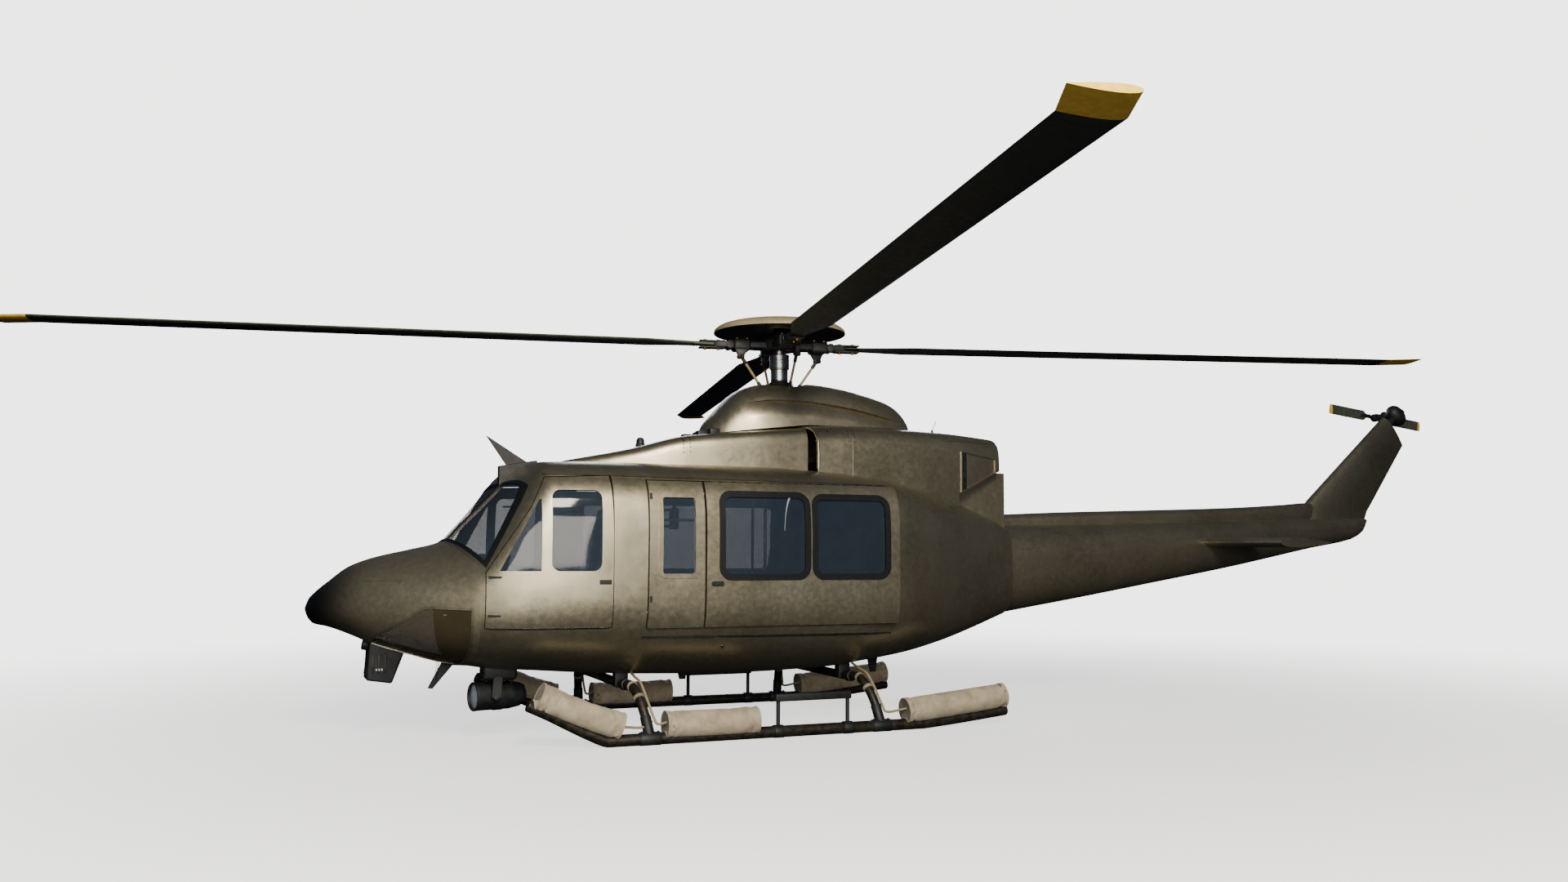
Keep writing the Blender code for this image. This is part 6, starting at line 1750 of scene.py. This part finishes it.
def build_nose_fittings():
    """Sensor box, searchlight on its arm, wire cutters with their stays, and aerials under the belly."""
    body = body_solid(0.010)

    def trimmed(shape):
        return carve(shape, less(body.copy()))

    sensor = trimmed(soften(prism(SENSOR_BOX, -SENSOR_HALF, SENSOR_HALF), 0.018, 3))
    ribs = [block((-3.76 + 0.05 * k, -SENSOR_HALF - 0.006, 0.56),
                  (-3.74 + 0.05 * k, SENSOR_HALF + 0.006, 0.72), 0.004) for k in range(3)]
    nub = cylinder((-3.83, 0, 0.80), (-3.78, 0, 0.79), 0.05, 32, bevel=0.008)
    piece("sensor_case", merged(sensor, *ribs, nub), "black", "nose_sensor")
    marks = [block((-3.725 + 0.022 * k, -SENSOR_HALF - 0.007, 0.580),
                   (-3.715 + 0.022 * k, -SENSOR_HALF + 0.002, 0.597), 0.001) for k in range(3)]
    piece("sensor_vents", merged(*marks), "white")
    window = prism(((-3.806, 0.545), (-3.798, 0.540), (-3.775, 0.70), (-3.783, 0.705)), -0.075, 0.075)
    piece("sensor_window", soften(window, 0.002, 1), "screen")

    cut = trimmed(soften(prism(UPPER_CUTTER, -CUTTER_HALF, CUTTER_HALF), 0.003, 1))
    foot = trimmed(
        soften(prism(((-2.72, 2.15), (-2.72, 2.34), (-2.38, 2.40), (-2.38, 2.15)), -0.035, 0.035), 0.004, 1))
    piece("upper_cutter_blade", merged(cut, foot), "black", "upper_wire_cutter")
    cut = trimmed(soften(prism(LOWER_CUTTER, -CUTTER_HALF, CUTTER_HALF), 0.003, 1))
    foot = trimmed(
        soften(prism(((-3.14, 0.60), (-2.96, 0.59), (-2.96, 0.72), (-3.14, 0.72)), -0.035, 0.035), 0.004, 1))
    piece("lower_cutter_blade", merged(cut, foot), "black", "lower_wire_cutter")
    stays = [tube([(-3.215, side * 0.012, 0.47), (-3.20, side * 0.075, 0.66)], 0.0025, 8) for side in SIDES]
    piece("cutter_stays", merged(*stays), "metal")

    lie = placed(LAMP_PLACE, LAMP_YAW, "Z")
    lie = lie @ Matrix.Rotation(radians(90), 4, "Y")
    drum = lathe(LAMP_DRUM, 72)
    fins = [lathe(((0.116, z), (0.124, z + 0.002), (0.124, z + 0.006), (0.116, z + 0.008)), 64)
            for z in (0.150, 0.172, 0.194, 0.216)]
    lamp = moved(merged(drum, *fins, bolt_ring((0, 0, 0.436), (0, 0, 1), 0.032, 4, 0.006)), lie)
    piece("searchlight_drum", lamp, "black", "searchlight")
    lens = lathe(((0, -0.020), (0.040, -0.019), (0.080, -0.014), (0.103, -0.006), (0.103, 0.0), (0, 0.0)),
                 64)
    piece("searchlight_lens", moved(lens, lie), "lens")
    x, y, z = LAMP_PLACE
    fork = [soften(prism((
        (x + 0.11, z), (x + 0.15, z - 0.02), (x + 0.19, z), (x + 0.20, z + 0.16), (x + 0.17, z + 0.19),
        (x + 0.12, z + 0.16)), y + way * 0.124, y + way * 0.138), 0.003, 1) for way in (-1, 1)]
    top = trimmed(soften(block((x + 0.04, y - 0.10, z + 0.135), (x + 0.33, y + 0.10, z + 0.30)), 0.03, 3))
    arm = trimmed(cylinder((x + 0.155, y, z + 0.14), (x + 0.155, y, 0.80), 0.045, 32))
    pivots = [cylinder((x + 0.15, y + way * 0.12, z), (x + 0.15, y + way * 0.150, z), 0.022, 24, bevel=0.003)
              for way in (-1, 1)]
    piece("searchlight_bracket", merged(*fork, top, arm, *pivots), "black")
    lead = tube(spline(
        [(x + 0.30, y, z + 0.10), (x + 0.30, y, z + 0.19), (x + 0.25, y, z + 0.235),
         (x + 0.20, y, z + 0.24)], 16), 0.008, 12)
    piece("searchlight_lead", lead, "rubber")
    blades = [trimmed(soften(prism(((x0, 0.60), (x0 + 0.05, 0.40), (x0 + 0.11, 0.40), (x0 + 0.14, 0.60)),
                                   -0.008, 0.008), 0.003, 1)) for x0 in (-1.05, 0.95)]
    piece("belly_aerials", merged(*blades), "black")
    body.free()


def build_cowl_fittings():
    """Intakes, rear scoops, latches, beacon, whip aerial, engines and their pipes."""
    rear_point = cowl_point(ENGINE_COWL, 5.0)
    for side, name in SIDE_NAMES.items():
        rim = [rear_point(0.034, 0.25 + 0.0022 * k, 0.011) for k in range(95)]
        rim = [Vector((p.x, side * abs(p.y), p.z)) for p in rim if p.z > 2.30 and abs(p.y) > 0.58]
        piece("intake_lip_" + name, tube(rim, 0.0145, 20), "khaki")
        # A solid black plate closes the duct behind the grille: the intake screen, and painted shade for the
        # dark inside of the duct beyond it
        screen = carve(block(
            (0.160, min(side * 0.622, side * 0.90), 2.31), (0.175, max(side * 0.622, side * 0.90), 2.76)),
                       within(loft(lambda x, turn: rear_point(x, turn, 0.021), [0.10, 0.16, 0.175, 0.25])))
        piece("intake_screen_and_painted_duct_shade_" + name, screen, "black")
        bars = []
        for k in range(9):
            z = 2.345 + 0.045 * k
            bars.append(block((0.148, min(side * 0.625, side * 0.825), z),
                              (0.158, max(side * 0.625, side * 0.825), z + 0.006)))
        for k in range(5):
            y = side * (0.645 + 0.04 * k)
            bars.append(block((0.146, y - 0.003, 2.33), (0.156, y + 0.003, 2.74)))
        piece("intake_grille_" + name, merged(*bars), "dull_metal")
        # Black strip across the front of the scoop's recess: painted shade in the scoop's mouth
        mouth = (SCOOP[0], (SCOOP[0][0] + SCOOP_MOUTH, SCOOP[0][1] + 0.035),
                 (SCOOP[0][0] + SCOOP_MOUTH, SCOOP[3][1]), SCOOP[3])
        panel = skin_strip(rear_point, mouth, side, 0.010, 0.0145, 1.5, 2.12)
        piece("scoop_mouth_painted_shade_" + name, panel, "black")
        edge = [skin_strip(rear_point, strip(SCOOP[0], SCOOP[3], 0.016), side, -0.010, 0.014, 1.5, 2.12),
                skin_strip(rear_point, strip(SCOOP[0], SCOOP[1], 0.010), side, -0.003, 0.014, 1.5, 2.12)]
        piece("scoop_rim_" + name, merged(*edge), "khaki")
    latches = [block((x, -0.26, 2.64 + 0.2 * (x + 1.0)), (x + 0.10, -0.16, 2.70 + 0.2 * (x + 1.0)), 0.012)
               for x in (-0.93, -0.81)]
    latches += [mirrored(shape) for shape in latches]
    piece("fairing_foot_latches", merged(*latches), "black")
    beacon = lathe(((0, -0.03), (0.045, -0.03), (0.045, 0.012), (0.040, 0.016), (0.038, 0.050),
                    (0.026, 0.072), (0, 0.078)), 40, (-1.41, 0, 2.570))
    piece("roof_beacon", beacon, "black")
    whip = merged(cylinder((1.46, -0.45, 2.765), (1.462, -0.45, 2.795), 0.012, 20, bevel=0.002),
                  tube([(1.462, -0.45, 2.79), (1.49, -0.45, 2.85), (1.505, -0.45, 2.885)], 0.0035, 8))
    piece("whip_aerial", whip, "black")
    machinery = [soften(block(*ENGINE_BLOCK), 0.03, 3)]
    for side in SIDES:
        y, z = side * EXHAUST_Y, EXHAUST_Z
        pipe = lathe(((0.100, 0.2), (0.100, 0.470), (0.104, 0.472), (0.113, 0.468), (0.115, 0.460),
                      (0.109, 0.445), (0.109, 0.0), (0.02, 0.0), (0.02, 0.2)), 64)
        machinery.append(moved(pipe, placed((1.70, y, z), 90, "Y")))
    piece("engine_and_pipes", merged(*machinery), "dull_metal", "engines")
    flanges = [moved(lathe(((0.116, 0), (0.140, 0), (0.142, 0.004), (0.140, 0.008), (0.116, 0.008)), 64),
                     placed((2.118, side * EXHAUST_Y, EXHAUST_Z), 90, "Y")) for side in SIDES]
    piece("exhaust_flanges", merged(*flanges), "dull_metal")


def build_fasteners():
    """Flush fasteners along the seams of the cowls, drawn 16 mm across."""
    front_point, rear_point = cowl_point(TRANSMISSION_COWL, 9.0), cowl_point(ENGINE_COWL, 5.0)
    places = [(front_point, x, 0.27 + 0.02 * k) for k in range(7) for x in (-1.165, -1.105)]
    places += [(rear_point, x, 0.27 + 0.02 * k) for k in range(8) for x in (0.345, 0.405)]
    discs = []
    for point, x, turn in places:
        place = point(x, turn)
        ahead, beside = point(x + 0.01, turn) - place, point(x, turn + 0.002) - place
        out = ahead.cross(beside).normalized()
        if out.dot(Vector((0, place.y, 0))) < 0:
            out = -out
        if place.z < 2.40:
            continue
        disc = cylinder(place - out * 0.003, place + out * 0.0012, 0.008, 12)
        discs += [disc, mirrored(disc)]
    piece("cowl_fasteners", merged(*discs), "dull_metal")


# Finish of the nodes that stay as the part gives them
KEPT = {"cabin_floor": "floor", "transmission_block": "dull_metal"}


def finish_kept_nodes():
    for name, finish in KEPT.items():
        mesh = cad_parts[name].data
        mesh.materials.clear()
        mesh.materials.append(FINISH[finish])


build_camera()
build_stage()
build_fuselage()
build_doors()
build_cowls()
build_tail()
build_main_rotor()
build_rotor_head()
build_tail_rotor()
build_gear()
build_float_bags()
build_seats()
build_cabin()
build_door_fittings()
build_nose_fittings()
build_cowl_fittings()
build_fasteners()
finish_kept_nodes()
